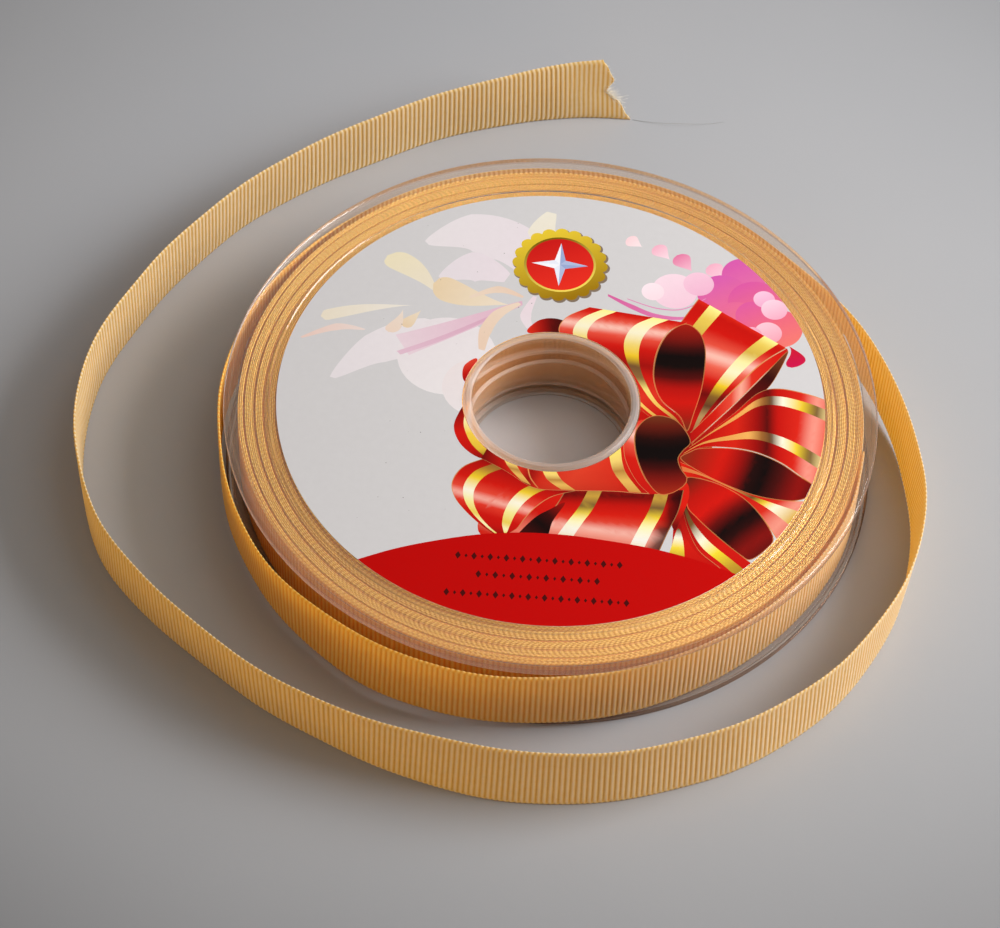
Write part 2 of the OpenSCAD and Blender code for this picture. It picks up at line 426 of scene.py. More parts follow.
RIBBON = ribbon_material(
    "grosgrain", 0.0, 0.49, ((0.72, 0.33, 0.03), (0.96, 0.74, 0.30), (1.0, 0.98, 0.80)), (1.0, 0.67, 0.07), spec=0.65,
    # painted bounce light: the deeper orange tones near the spool
    painted_bounce=((1.0, 0.33, 0.01), (1.0, 0.62, 0.09), (1.0, 0.86, 0.32)),
)
# the winding's cloth has deeper, more saturated tones than the loose end's: painted bounce light between the packed
# turns, plus painted groove shade on its low turns
RIBBON_COIL = ribbon_material("grosgrain_wound", 0.05, 0.5, ((0.80, 0.28, 0.02), (0.93, 0.55, 0.09), (0.98, 0.74, 0.18)), (0.98, 0.64, 0.10), spec=0.5, deep=4.5)
CLEAR = plastic_material("clear_plastic", 0.035, rgb(0.985, 0.975, 0.965), haze=0.05, scratch=0.05)
# painted light: the hub wall's haze is orange and bright, standing in for light from the winding scattered in the wall
WALL = plastic_material("clear_plastic_hub", 0.12, rgb(0.99, 0.97, 0.95), haze=0.22, milk=(1.0, 0.67, 0.37), thin=True)
WALL_TOP = plastic_material("clear_plastic_hub_top", 0.1, rgb(0.99, 0.97, 0.95), haze=0.2, milk=(1.0, 0.64, 0.32), thin=True, ribs=True)
FROST = plastic_material("frosted_plastic", 0.2, rgb(0.98, 0.96, 0.94), haze=0.45, milk=(0.86, 0.84, 0.84), thin=True)
EDGE = plastic_material("clear_plastic_edge", 0.08, rgb(0.97, 0.93, 0.89), haze=0.08, milk=(0.88, 0.72, 0.58), scratch=0.05, thin=True)
# painted shade: both rims are tinted brown, the lower one deep brown, which darkens their outer edge into a dark line
RIM_LOW = plastic_material("clear_plastic_rim_low", 0.16, rgb(0.44, 0.30, 0.22), haze=0.1, milk=(0.70, 0.50, 0.40), scratch=0.05, thin=True)
RIM = plastic_material("clear_plastic_rim", 0.2, rgb(0.86, 0.74, 0.68), haze=0.2, milk=(0.70, 0.55, 0.50), scratch=0.05, thin=True)


# ------------------------------------------------------------------ the loose end
def rib_height(s):
    """1 on the crest of a cross rib, 0 in the valley between two."""
    return np.abs(np.cos(np.pi * s / RIB)) ** 0.75


def ribbon_profile():
    """(share of the width, side) of the points round the ribbon: up the outer face, over the edge, down the inner face."""
    h = [0.016, 0.05, 0.085, 0.25, 0.42, 0.62, 0.915, 0.95, 0.984]
    return np.array(h + [1.0] + h[::-1] + [0.0]), np.array([1.0] * 9 + [0.0] + [-1.0] * 9 + [0.0])


def ribbon_rings(centre, normal, z0, s, lean, extra_off=None, extra_s=None, tangent=None, half=0.2, full_w=RIBBON_W, calm=0.0):
    """Rings of a ribbed ribbon on edge. centre and normal are (n, 2), z0, s and lean (n,)."""
    h, side = ribbon_profile()
    hh = np.minimum(h, 1 - h) * full_w
    field = smooth((hh - 0.55) / 0.6)          # 0 on the selvedge, 1 on the ribs
    lip = smooth(1 - np.abs(hh - 1.08) / 0.35)   # the fine groove beside the selvedge
    true_s = s[:, None] + (0 if extra_s is None else extra_s)
    face = rib_height(true_s) * (1 - calm) + 0.75 * calm      # calm flattens the ribs, where the end is pinched
    bead = rib_height(true_s + 0.27) * (1 - calm) + 0.75 * calm
    body = half * (0.32 + 0.68 * face)
    cord = half * (0.38 + 0.62 * bead)
    t = cord * (1 - field) + body * field - 0.035 * lip
    round_edge = np.sqrt(np.clip(hh / 0.32, 0, 1))
    t = t * np.where(side == 0, 0, np.maximum(round_edge, 0.6))
    off = side * t + lean[:, None] * (h - 0.5)
    if extra_off is not None:
        off = off + extra_off
    up = np.where(h == 1.0, 0.2 * bead - 0.12, np.where(h == 0.0, -(0.2 * bead - 0.2), 0.0))
    z = z0[:, None] + h * full_w + up
    xy = centre[:, None, :] + normal[:, None, :] * off[..., None]
    if extra_s is not None:
        xy = xy + tangent[:, None, :] * extra_s[..., None]
    return np.concatenate([xy, z[..., None]], -1), h


def loose_end():
    start, stop = 6.0, LAST_DEG
    u = np.linspace(start, stop, 20001)
    m = middle(u)
    # the first few degrees tuck in against the winding's outer turn
    tuck = 0.48 * (1 - smooth((u - start) / 16.0))
    m = m - outward(u) * tuck[:, None]
    length = np.concatenate([[0], np.cumsum(np.linalg.norm(np.diff(m, axis=0), axis=1))])
    s = np.arange(0, length[-1] - 12.0, RIB / 6)
    s = np.concatenate([s, np.arange(s[-1] + RIB / 14, length[-1], RIB / 14)])
    us = np.interp(s, length, u)
    c = middle(us)
    n = outward(us)
    c = c - n * (0.48 * (1 - smooth((us - start) / 16.0)))[:, None]
    tangent = np.stack([n[:, 1], -n[:, 0]], -1)
    # small unevenness of a limp ribbon, only where it lies free
    free = smooth((us - 60) / 60) * (1 - smooth((us - 200) / 30)) + smooth((us - 345) / 25)
    wave = free * (0.10 * np.sin(s / 7.1 + 0.4) + 0.07 * np.sin(s / 3.3) + 0.12 * np.sin(s / 19.0 + 2))
    c = c + n * wave[:, None]
    lean = along(us, 2) + free * 0.25 * np.sin(s / 11.0 + 1.0)
    h, _ = ribbon_profile()
    # the cut end: cut ragged, pinched, and its lower corner pulled out
    left = s[-1] - s
    w = smooth(1 - left / 7.5)[:, None]
    ext = np.interp(h, [0, .05, .085, .25, .42, .62, .915, .95, 1.0], [5.2, 5.0, 4.8, 3.7, 1.0, 2.5, .8, .5, 0.0])
    crease = np.interp(h, [0, .085, .25, .42, .62, .915, 1.0], [0.9, 0.7, 0.1, -0.7, -0.2, 0.3, 0.2])
    ragged = 0.25 * np.sin(37 * h + 1.0) * smooth(1 - left / 1.2)[:, None]
    shift = ext * w + ragged
    rings, h = ribbon_rings(c, n, foot(us), s, lean, extra_off=-crease * w ** 1.5, extra_s=shift, tangent=tangent, half=0.225, calm=smooth(1.35 - left / 7.0)[:, None])
    rings[..., 2] = np.maximum(rings[..., 2], 0.0)
    faces = strip_solid(rings)
    obj = build(
        "ribbon_tail_cloth", rings, faces, [RIBBON],
        floats={"along_mm": s[:, None] + shift, "across_mm": np.tile(h * RIBBON_W, len(s))},
    )
    keep = list(np.searchsorted(s, np.arange(0, s[-1] - 0.6, 2 * RIB) - 1e-6)) + [len(s) - 1]
    z = foot(us) + RIBBON_W / 2
    path = [[float(c[i, 0]) * MM, float(c[i, 1]) * MM, float(z[i]) * MM] for i in keep]
    return obj, path, rings


def fibres(name, roots, mats, body):
    """Fine loose fibres: each a thin tube along its own points, all in one piece."""
    co, faces = [], []
    shade = []
    for pts, radius, kind in roots:
        pts = np.asarray(pts, float)
        d = np.gradient(pts, axis=0)
        d /= np.linalg.norm(d, axis=1, keepdims=True)
        a = np.cross(d, (0.31, 0.2, 0.93))
        a /= np.linalg.norm(a, axis=1, keepdims=True)
        b = np.cross(d, a)
        base = len(co)
        k = len(pts)
        r = radius * np.linspace(1.0, 0.5, k)
        for i in range(k):
            for q in range(5):
                w = 2 * math.pi * q / 5
                co.append(pts[i] + r[i] * (a[i] * math.cos(w) + b[i] * math.sin(w)))
        f = grid_faces(k, 5, False, True) + base
        f = f.tolist()
        f.append([base + q for q in range(5)])
        f.append([base + (k - 1) * 5 + q for q in range(4, -1, -1)])
        if volume_sign(co, f) < 0:
            f = [g[::-1] for g in f]
        faces += f
        shade += [kind] * len(f)
    obj = build(name, np.array(co), faces, mats, face_mat=shade)
    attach(obj, body)
    return obj


tail, tail_path, tail_rings = loose_end()


def frayed_end():
    """White ends of the weft at the cut, and one long stray fibre on the table."""
    h, side = ribbon_profile()
    last = tail_rings[-1]
    n = outward(np.array(LAST_DEG))
    t = np.array([n[1], -n[0], 0.0])
    n3 = np.array([n[0], n[1], 0.0])
    rng = np.random.default_rng(7)
    out = []
    for k in range(190):
        hh = rng.beta(1.6, 2.4) * 0.98 + 0.01
        if rng.random() < 0.35:
            hh = 0.3 + 0.14 * rng.random()
        left = np.stack([np.interp(hh, h[:9], last[:9, i]) for i in range(3)])
        right = np.stack([np.interp(hh, h[10:19][::-1], last[10:19, i][::-1]) for i in range(3)])
        root = left + (right - left) * rng.random() - t * 0.5
        size = rng.uniform(0.5, 1.5) * (1.35 if 0.25 < hh < 0.5 else 0.75)
        d = t + n3 * rng.normal(0, 0.45) + np.array([0, 0, rng.normal(0.05, 0.4)])
        d /= np.linalg.norm(d)
        bend = rng.normal(0, 0.5, 3)
        pts = [root + d * size * q + bend * (size * q) ** 2 * 0.3 for q in np.linspace(0, 1.0, 5)]
        pts = np.array(pts)
        pts[:, 2] = np.maximum(pts[:, 2], 0.05)
        out.append((pts, rng.uniform(0.022, 0.04), 0))
    low = last[-1]
    q = np.linspace(0, 1, 28)
    stray = np.stack([
        low[0] + t[0] * 0.5 + 17.5 * q,
        low[1] - 1.2 * np.sin(q * 2.6) + 1.6 * q ** 2,
        0.06 + 0.5 * np.sin(q * math.pi) ** 2,
    ], -1)
    out.append((stray, 0.03, 1))
    return fibres("ribbon_end_threads", out, [thread_material("loose_threads", (0.90, 0.80, 0.60), (0.97, 0.95, 0.90)), thread_material("stray_thread", (0.34, 0.32, 0.29), (0.5, 0.48, 0.44))], "loose_ribbon")


threads = frayed_end()
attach(tail, "loose_ribbon")
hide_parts("ribbon_tail")


# ------------------------------------------------------------------ the winding
TURN = 0.303
OUT_R = PACK_R - 0.15          # middle of the outermost turn
IN_R = CORE_R + 0.15           # middle of the innermost turn
TURNS = (OUT_R - IN_R) / TURN
EXIT = -math.radians(6.0)      # where the outer turn hands over to the loose end
_jump = RNG.normal(0, 1, 200)
_wob = RNG.uniform(0, 2 * math.pi, 200)


def turn_radius(n):
    """Middle radius of the winding, n turns in from its outer end."""
    return OUT_R - TURN * n


def turn_level(n):
    """How far a turn's top edge stands below the highest one, in mm: uneven turns, and the few low ones that show as
    dark lines, by their depth and by painted shade in the cloth colour.
    """
    k = np.floor(n).astype(int) % 200
    k2 = (k + 1) % 200
    f = smooth(n - np.floor(n))
    rough = 0.03 * ((1 - f) * np.abs(_jump[k]) + f * np.abs(_jump[k2]))
    swing = 0.02 * (1 + np.sin(2 * math.pi * n * 3 + _wob[k]))
    low = 0.0
    for r, deep, width in ((52.55, 0.24, 0.16), (50.85, 0.26, 0.16), (49.15, 0.28, 0.22), (47.2, 0.26, 0.16), (44.0, 0.3, 0.2), (39.5, 0.35, 0.2), (34.6, 0.4, 0.25), (28.2, 0.3, 0.2), (22.4, 0.35, 0.2)):
        low = low + deep * np.exp(-((turn_radius(n) - r) / width) ** 2)
    return np.minimum(rough + swing + low, 0.75)


def coil(name, n0, n1, step_mm, beads, body="spool"):
    """Turns n0 (outer) to n1 (inner) of the winding as one closed strip, made at the given step."""
    n = [n0]
    while n[-1] < n1:
        n.append(n[-1] + step_mm / (2 * math.pi * turn_radius(n[-1])))
    n = np.array(n)
    ang = EXIT + 2 * math.pi * n                     # counter-clockwise going in
    r = turn_radius(n)
    s = -(2 * math.pi * (OUT_R * n - TURN * n ** 2 / 2))
    bead = rib_height(s) if beads else np.full(n.shape, 0.75)
    low = turn_level(n)
    low_b = turn_level(n + 60.5) * 0.8
    half = 0.148
    w = half * (0.84 + 0.16 * bead)
    top = RIBBON_Z + RIBBON_W - low - 0.06 * (1 - bead)
    bot = RIBBON_Z + low_b + 0.09 * (1 - bead)
    e = np.stack([np.cos(ang), np.sin(ang)], -1)
    cols = [(w, bot + 0.16), (w, top - 0.16), (0 * w, top), (-w, top - 0.16), (-w, bot + 0.16), (0 * w, bot)]
    rings = np.stack([np.concatenate([e * (r + o)[:, None], z[:, None]], -1) for o, z in cols], 1)
    faces = grid_faces(len(n), 6, False, True).tolist()
    k = (len(n) - 1) * 6
    faces += [[0, 1, 2, 3], [0, 3, 4, 5], [k + 3, k + 2, k + 1, k], [k + 5, k + 4, k + 3, k]]
    if volume_sign(rings, faces) < 0:
        faces = [f[::-1] for f in faces]
    obj = build(
        name, rings, faces, [RIBBON_COIL],
        floats={"along_mm": np.repeat(s, 6), "across_mm": (rings[..., 2] - RIBBON_Z).ravel(), "low_mm": np.repeat(np.maximum(low - 0.06, 0.0), 6)},
    )
    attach(obj, body)
    return obj


def ribbed_turn(name, n0, n1, body="spool", slanted=False):
    """A turn of the winding that is seen face on, with real ribs; the inner one has its slanted cut end."""
    n = [n0]
    while n[-1] < n1:
        n.append(n[-1] + (RIB / 6) / (2 * math.pi * turn_radius(n[-1])))
    n = np.array(n)
    ang = EXIT + 2 * math.pi * n
    r = turn_radius(n)
    s = -(2 * math.pi * (OUT_R * n - TURN * n ** 2 / 2))
    e = np.stack([np.cos(ang), np.sin(ang)], -1)
    shift = None
    tangent = np.stack([-e[:, 1], e[:, 0]], -1)
    if slanted:
        h, _ = ribbon_profile()
        left = (n[-1] - n) * 2 * math.pi * r[-1]
        w = smooth(1 - left / 26.0)[:, None]
        shift = -11.0 * (1 - h) * w
    rings, h = ribbon_rings(e * r[:, None], e, np.full(n.shape, RIBBON_Z) + 0.04, s, 0 * r, half=0.146, full_w=RIBBON_W - 0.14)
    if slanted:
        a = np.arctan2(rings[..., 1], rings[..., 0]) + shift / r[-1]
        rr = np.hypot(rings[..., 0], rings[..., 1])
        rings[..., 0], rings[..., 1] = rr * np.cos(a), rr * np.sin(a)
    obj = build(
        name, rings, strip_solid(rings), [RIBBON],
        floats={"along_mm": np.repeat(s, len(h)), "across_mm": np.tile(h * RIBBON_W, len(s))},
    )
    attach(obj, body)
    return obj


IN_TURNS = TURNS - 1.0
MID = (OUT_R - 46.4) / TURN
winding = [
    ribbed_turn("wound_ribbon_outer_turn", 0.0, 1.03),
    coil("wound_ribbon_outer", 1.03, MID * 0.51, RIB / 4, True),
    coil("wound_ribbon_middle", MID * 0.51, MID, RIB / 4, True),
    coil("wound_ribbon_inner", MID, IN_TURNS, 2.2, False),
    ribbed_turn("wound_ribbon_first_turn", IN_TURNS, TURNS + 0.01, slanted=True),
]
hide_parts("ribbon_pack")


# ------------------------------------------------------------------ the two clear halves
def revolve(name, outline, columns, warp, mats, mat_of):
    """A closed solid of revolution whose outline can change with the angle: warp(points, angle) moves the outline's points."""
    ang = np.linspace(0, 2 * math.pi, columns, endpoint=False)
    rings = np.empty((columns, len(outline), 3))
    for i, a in enumerate(ang):
        p = warp(outline.copy(), a) if warp else outline
        rings[i, :, 0], rings[i, :, 1], rings[i, :, 2] = p[:, 0] * math.cos(a), p[:, 0] * math.sin(a), p[:, 1]
    faces = grid_faces(columns, len(outline), True, True).tolist()
    if volume_sign(rings, faces) < 0:
        faces = [f[::-1] for f in faces]
    m = len(outline)
    fm = []
    for f in faces:
        q = [v % m for v in f]
        fm.append(mat_of(outline[q, 0].mean(), outline[q, 1].mean()))
    return build(name, rings, faces, mats, sharp=50, face_mat=fm)


def disc_corners():
    """The flange's section with its outer face at z 0, from the hub lip out to the rim and back along the inner face."""
    return [
        (13.98, 0.0, 0.22), (14.6, 0.0, 0.18), (15.0, 0.4, 0.15), (15.0, 0.6, 0.1),
        (48.1, 0.6, 0.06), (48.3, 0.4, 0.1), (48.5, 0.4, 0.1), (48.7, 0.6, 0.06), (53.8, 0.6, 0),
        (54.88, 0.6, 0.12), (55.02, 0.12, 0.12), (55.2, 0.0, 0.12), (55.6, 0.0, 0.2), (56.0, 0.32, 0.3), (56.0, 1.45, 0.16), (53.8, 1.45, 0),
    ]


def zone(r, z):
    """Which plastic a face has: clear flange, frosted lip, milky rim or the hub's wall."""
    if r > 55.85:
        return 2
    if r > 53.8:
        return 4
    if r > 15.2:
        return 0
    if r < 14.6 and abs(z - SLEEVE_Z) < 0.16:
        return 1
    if z > HEIGHT - 0.7 or z < 0.7:
        return 1
    return 5 if z > SLEEVE_Z or r > 14.9 else 3


def arch(a):
    """How far the skirt's lower edge is cut away at an angle: three broad arches with one steep side."""
    d = (math.degrees(a) - 35) % 120
    if d > 66:
        return 0.0
    return 5.4 * min(1.0, smooth(d / 9.0) * 1.0) * (1 - 0.72 * smooth((d - 44) / 19.0)) if d < 64.5 else 5.4 * 0.28 * (66 - d) / 1.5


def sleeve_top(a):
    return SLEEVE_Z - 1.7 + 0.45 * math.sin(3 * a - 1.9)


def upper_half():
    corners = [(r, HEIGHT - z, k) for r, z, k in disc_corners()]
    corners += [
        (15.0, HIGH_IN, 0.12), (15.0, SKIRT_Z, 0.1), (LAP_R + 0.02, SKIRT_Z, 0.08),
        (LAP_R + 0.02, SLEEVE_Z + 0.1, 0.03), (BORE_R, SLEEVE_Z + 0.1, 0.12), (BORE_R, HEIGHT - 0.3, 0.15),
    ]
    line = rounded(corners)

    def warp(p, a):
        cut, top = arch(a), sleeve_top(a)
        z = p[:, 1].copy()
        low = (p[:, 0] < 15.001) & (z < SKIRT_Z + 0.35)
        step = (p[:, 0] < LAP_R + 0.15) & (z > SLEEVE_Z - 0.4) & (z < SLEEVE_Z + 0.6)
        p[low, 1] = z[low] + cut
        p[step, 1] = z[step] + top - SLEEVE_Z
        return p

    obj = revolve("upper_half_clear", line, 480, warp, [CLEAR, FROST, RIM, WALL, EDGE, WALL_TOP], zone)
    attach(obj, "spool")
    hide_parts("upper_flange")
    return obj


def lower_half():
    corners = disc_corners() + [
        (15.0, LOW_IN, 0.12), (15.0, SKIRT_Z - 0.1, 0.1), (LAP_R, SKIRT_Z - 0.1, 0.03),
        (LAP_R, SLEEVE_Z, 0.12), (BORE_R, SLEEVE_Z, 0.12), (BORE_R, 0.3, 0.15),
    ]
    line = rounded(corners)

    def warp(p, a):
        top = sleeve_top(a)
        z = p[:, 1].copy()
        step = (p[:, 0] < LAP_R + 0.15) & (z > SLEEVE_Z - 0.6)
        p[step, 1] = z[step] + top - SLEEVE_Z
        return p

    obj = revolve("lower_half_clear", line, 480, warp, [CLEAR, FROST, RIM_LOW, WALL, EDGE, WALL_TOP], zone)
    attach(obj, "spool")
    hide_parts("lower_flange")
    return obj


upper = upper_half()
lower = lower_half()


# ------------------------------------------------------------------ the starting tape
def starting_tape():
    n, m = 90, 14
    a = np.radians(np.linspace(25.0, 97.5, n))
    z = np.linspace(2.2, 14.0, m)
    rng = np.random.default_rng(3)
    bumps = rng.normal(0, 1, (12, 4))
    A, Z = np.meshgrid(a, z, indexing="ij")
    dr = sum(0.008 * b[0] * np.sin(A * 15 * (1 + b[1] * 0.2) + Z * 0.5 * b[2] + b[3]) for b in bumps) / 3
    edge = 0.12 * np.sin(Z * 9.0) * (np.abs(A - a[0]) < 0.02) - 0.12 * np.sin(Z * 8.0 + 1) * (np.abs(A - a[-1]) < 0.02)
    A2 = A + edge / 15
    sheets = []
    for r in (15.015, 15.065):
        R = r + np.clip(dr, -0.012, 0.012)
        sheets.append(np.stack([R * np.cos(A2), R * np.sin(A2), Z], -1))
    co = np.concatenate([s.reshape(-1, 3) for s in sheets])
    top = grid_faces(n, m, False, False)
    faces = top.tolist() + (top[:, ::-1] + n * m).tolist()
    loop = [i * m for i in range(n)] + [(n - 1) * m + j for j in range(1, m)] + [i * m + m - 1 for i in range(n - 2, -1, -1)] + [j for j in range(m - 2, 0, -1)]
    for i in range(len(loop)):
        p, q = loop[i], loop[(i + 1) % len(loop)]
        faces.append([q, p, p + n * m, q + n * m])
    if volume_sign(co, faces) < 0:
        faces = [f[::-1] for f in faces]
    obj = build("starting_tape_strip", co, faces, [tape_material()], sharp=60)
    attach(obj, "spool")
    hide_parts("starting_tape")
    return obj


starting_tape()


# ------------------------------------------------------------------ the label
def lin(c):
    """A colour given as 0..255 screen values, in linear light."""
    c = np.asarray(c, float) / 255
    return np.where(c <= 0.04045, c / 12.92, ((c + 0.055) / 1.055) ** 2.4)


def spline(points, n=60, closed=False):
    """A smooth curve through given points."""
    p = np.asarray(points, float)
    k = len(p)
    t = np.linspace(0, k if closed else k - 1, n, endpoint=not closed)
    i = np.minimum(np.floor(t).astype(int), k - 1 if closed else k - 2)
    f = (t - i)[:, None]
    def q(j):
        return p[(i + j) % k] if closed else p[np.clip(i + j, 0, k - 1)]
    a, b, c, d = q(-1), q(0), q(1), q(2)
    return b + 0.5 * f * (c - a + f * (2 * a - 5 * b + 4 * c - d + f * (3 * (b - c) + d - a)))


WHITE = lin((204, 203, 205))


class Shape:
    """A filled outline with its own colour function of (x, y)."""

    def __init__(self, outline, colour, lines=(), inner=()):
        self.outline = np.asarray(outline, float)
        if colour is not None:
            self.colour = colour
        self.lines = [np.asarray(l, float) for l in lines]
        self.inner = np.asarray(inner, float).reshape(-1, 2)


def inside(outline, pts):
    x, y = pts[:, 0][:, None], pts[:, 1][:, None]
    x0, y0 = outline[:, 0][None], outline[:, 1][None]
    x1, y1 = np.roll(outline[:, 0], -1)[None], np.roll(outline[:, 1], -1)[None]
    cross = ((y0 > y) != (y1 > y)) & (x < (x1 - x0) * (y - y0) / np.where(y1 == y0, 1e-12, y1 - y0) + x0)
    return cross.sum(1) % 2 == 1


def flat(c):
    c = np.asarray(c, float)
    return lambda p: np.broadcast_to(c, (len(p), 3))


def gradient(stops):
    xs = [s[0] for s in stops]
    cs = np.array([lin(s[1]) for s in stops])
    return lambda t: np.stack([np.interp(t, xs, cs[:, k]) for k in range(3)], -1)


RED = [(0, (120, 10, 6)), (0.12, (196, 22, 10)), (0.3, (232, 60, 40)), (0.42, (243, 190, 178)), (0.52, (226, 70, 50)), (0.7, (196, 18, 8)), (0.86, (110, 8, 5)), (1, (46, 5, 4))]
GOLD = [(0, (214, 170, 60)), (0.15, (248, 240, 160)), (0.4, (247, 243, 226)), (0.6, (232, 196, 56)), (0.8, (142, 100, 48)), (1, (84, 58, 34))]


class Band(Shape):
    """A printed ribbon between two edges: it has gold stripes along it, and is shaded along its length."""

    def __init__(self, left, right, stripes=((0.14, 0.28), (0.72, 0.86)), red=RED, gold=GOLD, nu=40, rim=0.018, cross=None):
        a, b = spline(left, nu + 1), spline(right, nu + 1)
        self.stripes, self.red, self.gold, self.rim, self.cross = stripes, gradient(red), gradient(gold), rim, cross
        cuts = sorted({0.0, rim, 1 - rim, 1.0, *[round(v, 4) for s in stripes for v in s]})
        vs = []
        for v0, v1 in zip(cuts[:-1], cuts[1:]):
            k = max(1, int(round((v1 - v0) * 12)))
            vs += [v0 + (v1 - v0) * i / k for i in range(k)]
        vs.append(1.0)
        grid = a[:, None] * (1 - np.array(vs))[None, :, None] + b[:, None] * np.array(vs)[None, :, None]
        self.u = np.repeat(np.linspace(0, 1, nu + 1), len(vs))
        self.v = np.tile(vs, nu + 1)
        self.pts = grid.reshape(-1, 2)
        q = grid_faces(nu + 1, len(vs), False, False)
        self.tris = np.concatenate([q[:, [0, 1, 2]], q[:, [0, 2, 3]]])
        self.tree = BVHTree.FromPolygons([(x, y, 0.0) for x, y in self.pts], self.tris.tolist(), all_triangles=True)
        lines = [grid[:, i] for i, v in enumerate(vs) if any(abs(v - c) < 1e-6 for c in cuts[1:-1])]
        outline = np.concatenate([a, grid[-1, 1:-1], b[::-1], grid[0, 1:-1][::-1]])
        inner = grid[1:-1, 1:-1].reshape(-1, 2)
        super().__init__(outline, None, lines, inner)

    def colour(self, p):
        out = np.empty((len(p), 2))
        for i, (x, y) in enumerate(p):
            _, _, k, _ = self.tree.find_nearest((x, y, 0.0))
            t = self.tris[k]
            a, b, c = self.pts[t]
            m = np.array([[b[0] - a[0], c[0] - a[0]], [b[1] - a[1], c[1] - a[1]]])
            det = m[0, 0] * m[1, 1] - m[0, 1] * m[1, 0]
            if abs(det) < 1e-9:
                w1 = w2 = 1 / 3
            else:
                dx, dy = x - a[0], y - a[1]
                w1 = (dx * m[1, 1] - dy * m[0, 1]) / det
                w2 = (dy * m[0, 0] - dx * m[1, 0]) / det
            w = np.array([1 - w1 - w2, w1, w2])
            out[i] = (w @ self.u[t], w @ self.v[t])
        u, v = np.clip(out[:, 0], 0, 1), np.clip(out[:, 1], 0, 1)
        c = self.red(u)
        if self.cross is not None:
            c = c * self.cross(v)[:, None]
        is_gold = np.zeros(len(p), bool)
        for v0, v1 in self.stripes:
            is_gold |= (v > v0) & (v < v1)
        g = self.gold(u)
        c = np.where(is_gold[:, None], g, c)
        thin = (v < self.rim) | (v > 1 - self.rim)
        return np.where(thin[:, None], lin((228, 150, 96))[None] * (0.35 + 0.65 * (c.max(1) / c.max(1).max())[:, None]), c)


def disc(x, y, r, colour, n=36, soft=None):
    a = np.linspace(0, 2 * math.pi, n, endpoint=False)
    line = np.stack([x + r * np.cos(a), y + r * np.sin(a)], -1)
    inner = np.stack([x + 0.5 * r * np.cos(a[::4]), y + 0.5 * r * np.sin(a[::4])], -1)
    if soft is None:
        return Shape(line, flat(lin(colour)), inner=inner)
    c0, c1 = lin(colour), lin(soft)
    d = lambda p: c0 + (c1 - c0) * np.clip(((p[:, 0] - x) * 0.5 - (p[:, 1] - y) * 0.85) / r * 0.5 + 0.5, 0, 1)[:, None]
    return Shape(line, d, inner=inner)


def drop(head, tail, r, c_head, c_tail, bend=0.0):
    """A teardrop from a round head to a fine tail."""
    h, t = np.array(head, float), np.array(tail, float)
    d = t - h
    length = np.linalg.norm(d)
    d /= length
    n = np.array([-d[1], d[0]])
    q = np.linspace(0, 1, 26)
    wide = r * np.sqrt(np.clip(1 - (1 - np.minimum(q * length / r, 1)) ** 2, 0, 1)) * (1 - smooth((q - 0.18) / 0.82)) ** 0.8
    mid = h - d * r * 0.0 + np.outer(q * length, d) + np.outer(np.sin(q * math.pi) * bend, n)
    line = np.concatenate([mid + n * wide[:, None], (mid - n * wide[:, None])[::-1][1:-1]])
    c0, c1 = lin(c_head), lin(c_tail)
    col = lambda p: c0 + (c1 - c0) * np.clip(((p - h) @ d) / length, 0, 1)[:, None]
    return Shape(line, col, inner=mid[2:-2:2])


def leaf(points, widths, c0, c1):
    """A long leaf or streak along a curve, with its half width at each point."""
    mid = spline(points, 40)
    w = np.interp(np.linspace(0, 1, 40), np.linspace(0, 1, len(widths)), widths)
    t = np.gradient(mid, axis=0)
    t /= np.linalg.norm(t, axis=1, keepdims=True)
    n = np.stack([-t[:, 1], t[:, 0]], -1)
    line = np.concatenate([mid + n * w[:, None], (mid - n * w[:, None])[::-1][1:-1]])
    a, b = lin(c0), lin(c1)
    d = mid[-1] - mid[0]
    col = lambda p: a + (b - a) * np.clip(((p - mid[0]) @ d) / (d @ d), 0, 1)[:, None]
    return Shape(line, col, inner=mid[1:-1:3])


def sweep(a, b, stops, bend=0.0):
    """A colour that changes from point a to point b, along a slightly bowed front."""
    a, b, g = np.array(a, float), np.array(b, float), gradient(stops)
    d = b - a
    size = d @ d

    def colour(p):
        q = p - a
        side = (q[:, 0] * d[1] - q[:, 1] * d[0]) / size
        return g(q @ d / size + bend * side ** 2)
    return colour


def filled(outline, step=1.1):
    """Points inside an outline, on a loose lattice."""
    outline = np.asarray(outline, float)
    lo, hi = outline.min(0), outline.max(0)
    x, y = np.meshgrid(np.arange(lo[0], hi[0], step), np.arange(lo[1], hi[1], step * 0.87))
    x = x + (np.arange(x.shape[0]) % 2)[:, None] * step / 2
    q = np.stack([x.ravel(), y.ravel()], -1)
    q = q[inside(outline, q)]
    far = np.sqrt(((q[:, None] - outline[None]) ** 2).sum(-1)).min(1) > step * 0.35
    return q[far]


def patch(points, a, b, stops, bend=0.0, n=40):
    line = spline(points, n, closed=True)
    return Shape(line, sweep(a, b, stops, bend), inner=filled(line))


def mouth(points, a, b, stops, bend=0.0, n=72, edge=0.16):
    """The dark inside of a printed loop, with a fine gold edge line."""
    line = spline(points, n, closed=True)
    t = np.roll(line, -1, 0) - np.roll(line, 1, 0)
    t /= np.linalg.norm(t, axis=1, keepdims=True)
    turn = np.sign((line[:, 0] * np.roll(line[:, 1], -1) - line[:, 1] * np.roll(line[:, 0], -1)).sum())
    small = line + turn * edge * np.stack([-t[:, 1], t[:, 0]], -1)
    col = sweep(a, b, stops, bend)
    return [Shape(line, lambda p: 0.45 * lin((236, 150, 86)) + 0.55 * col(p)), Shape(small, col, inner=filled(small))]


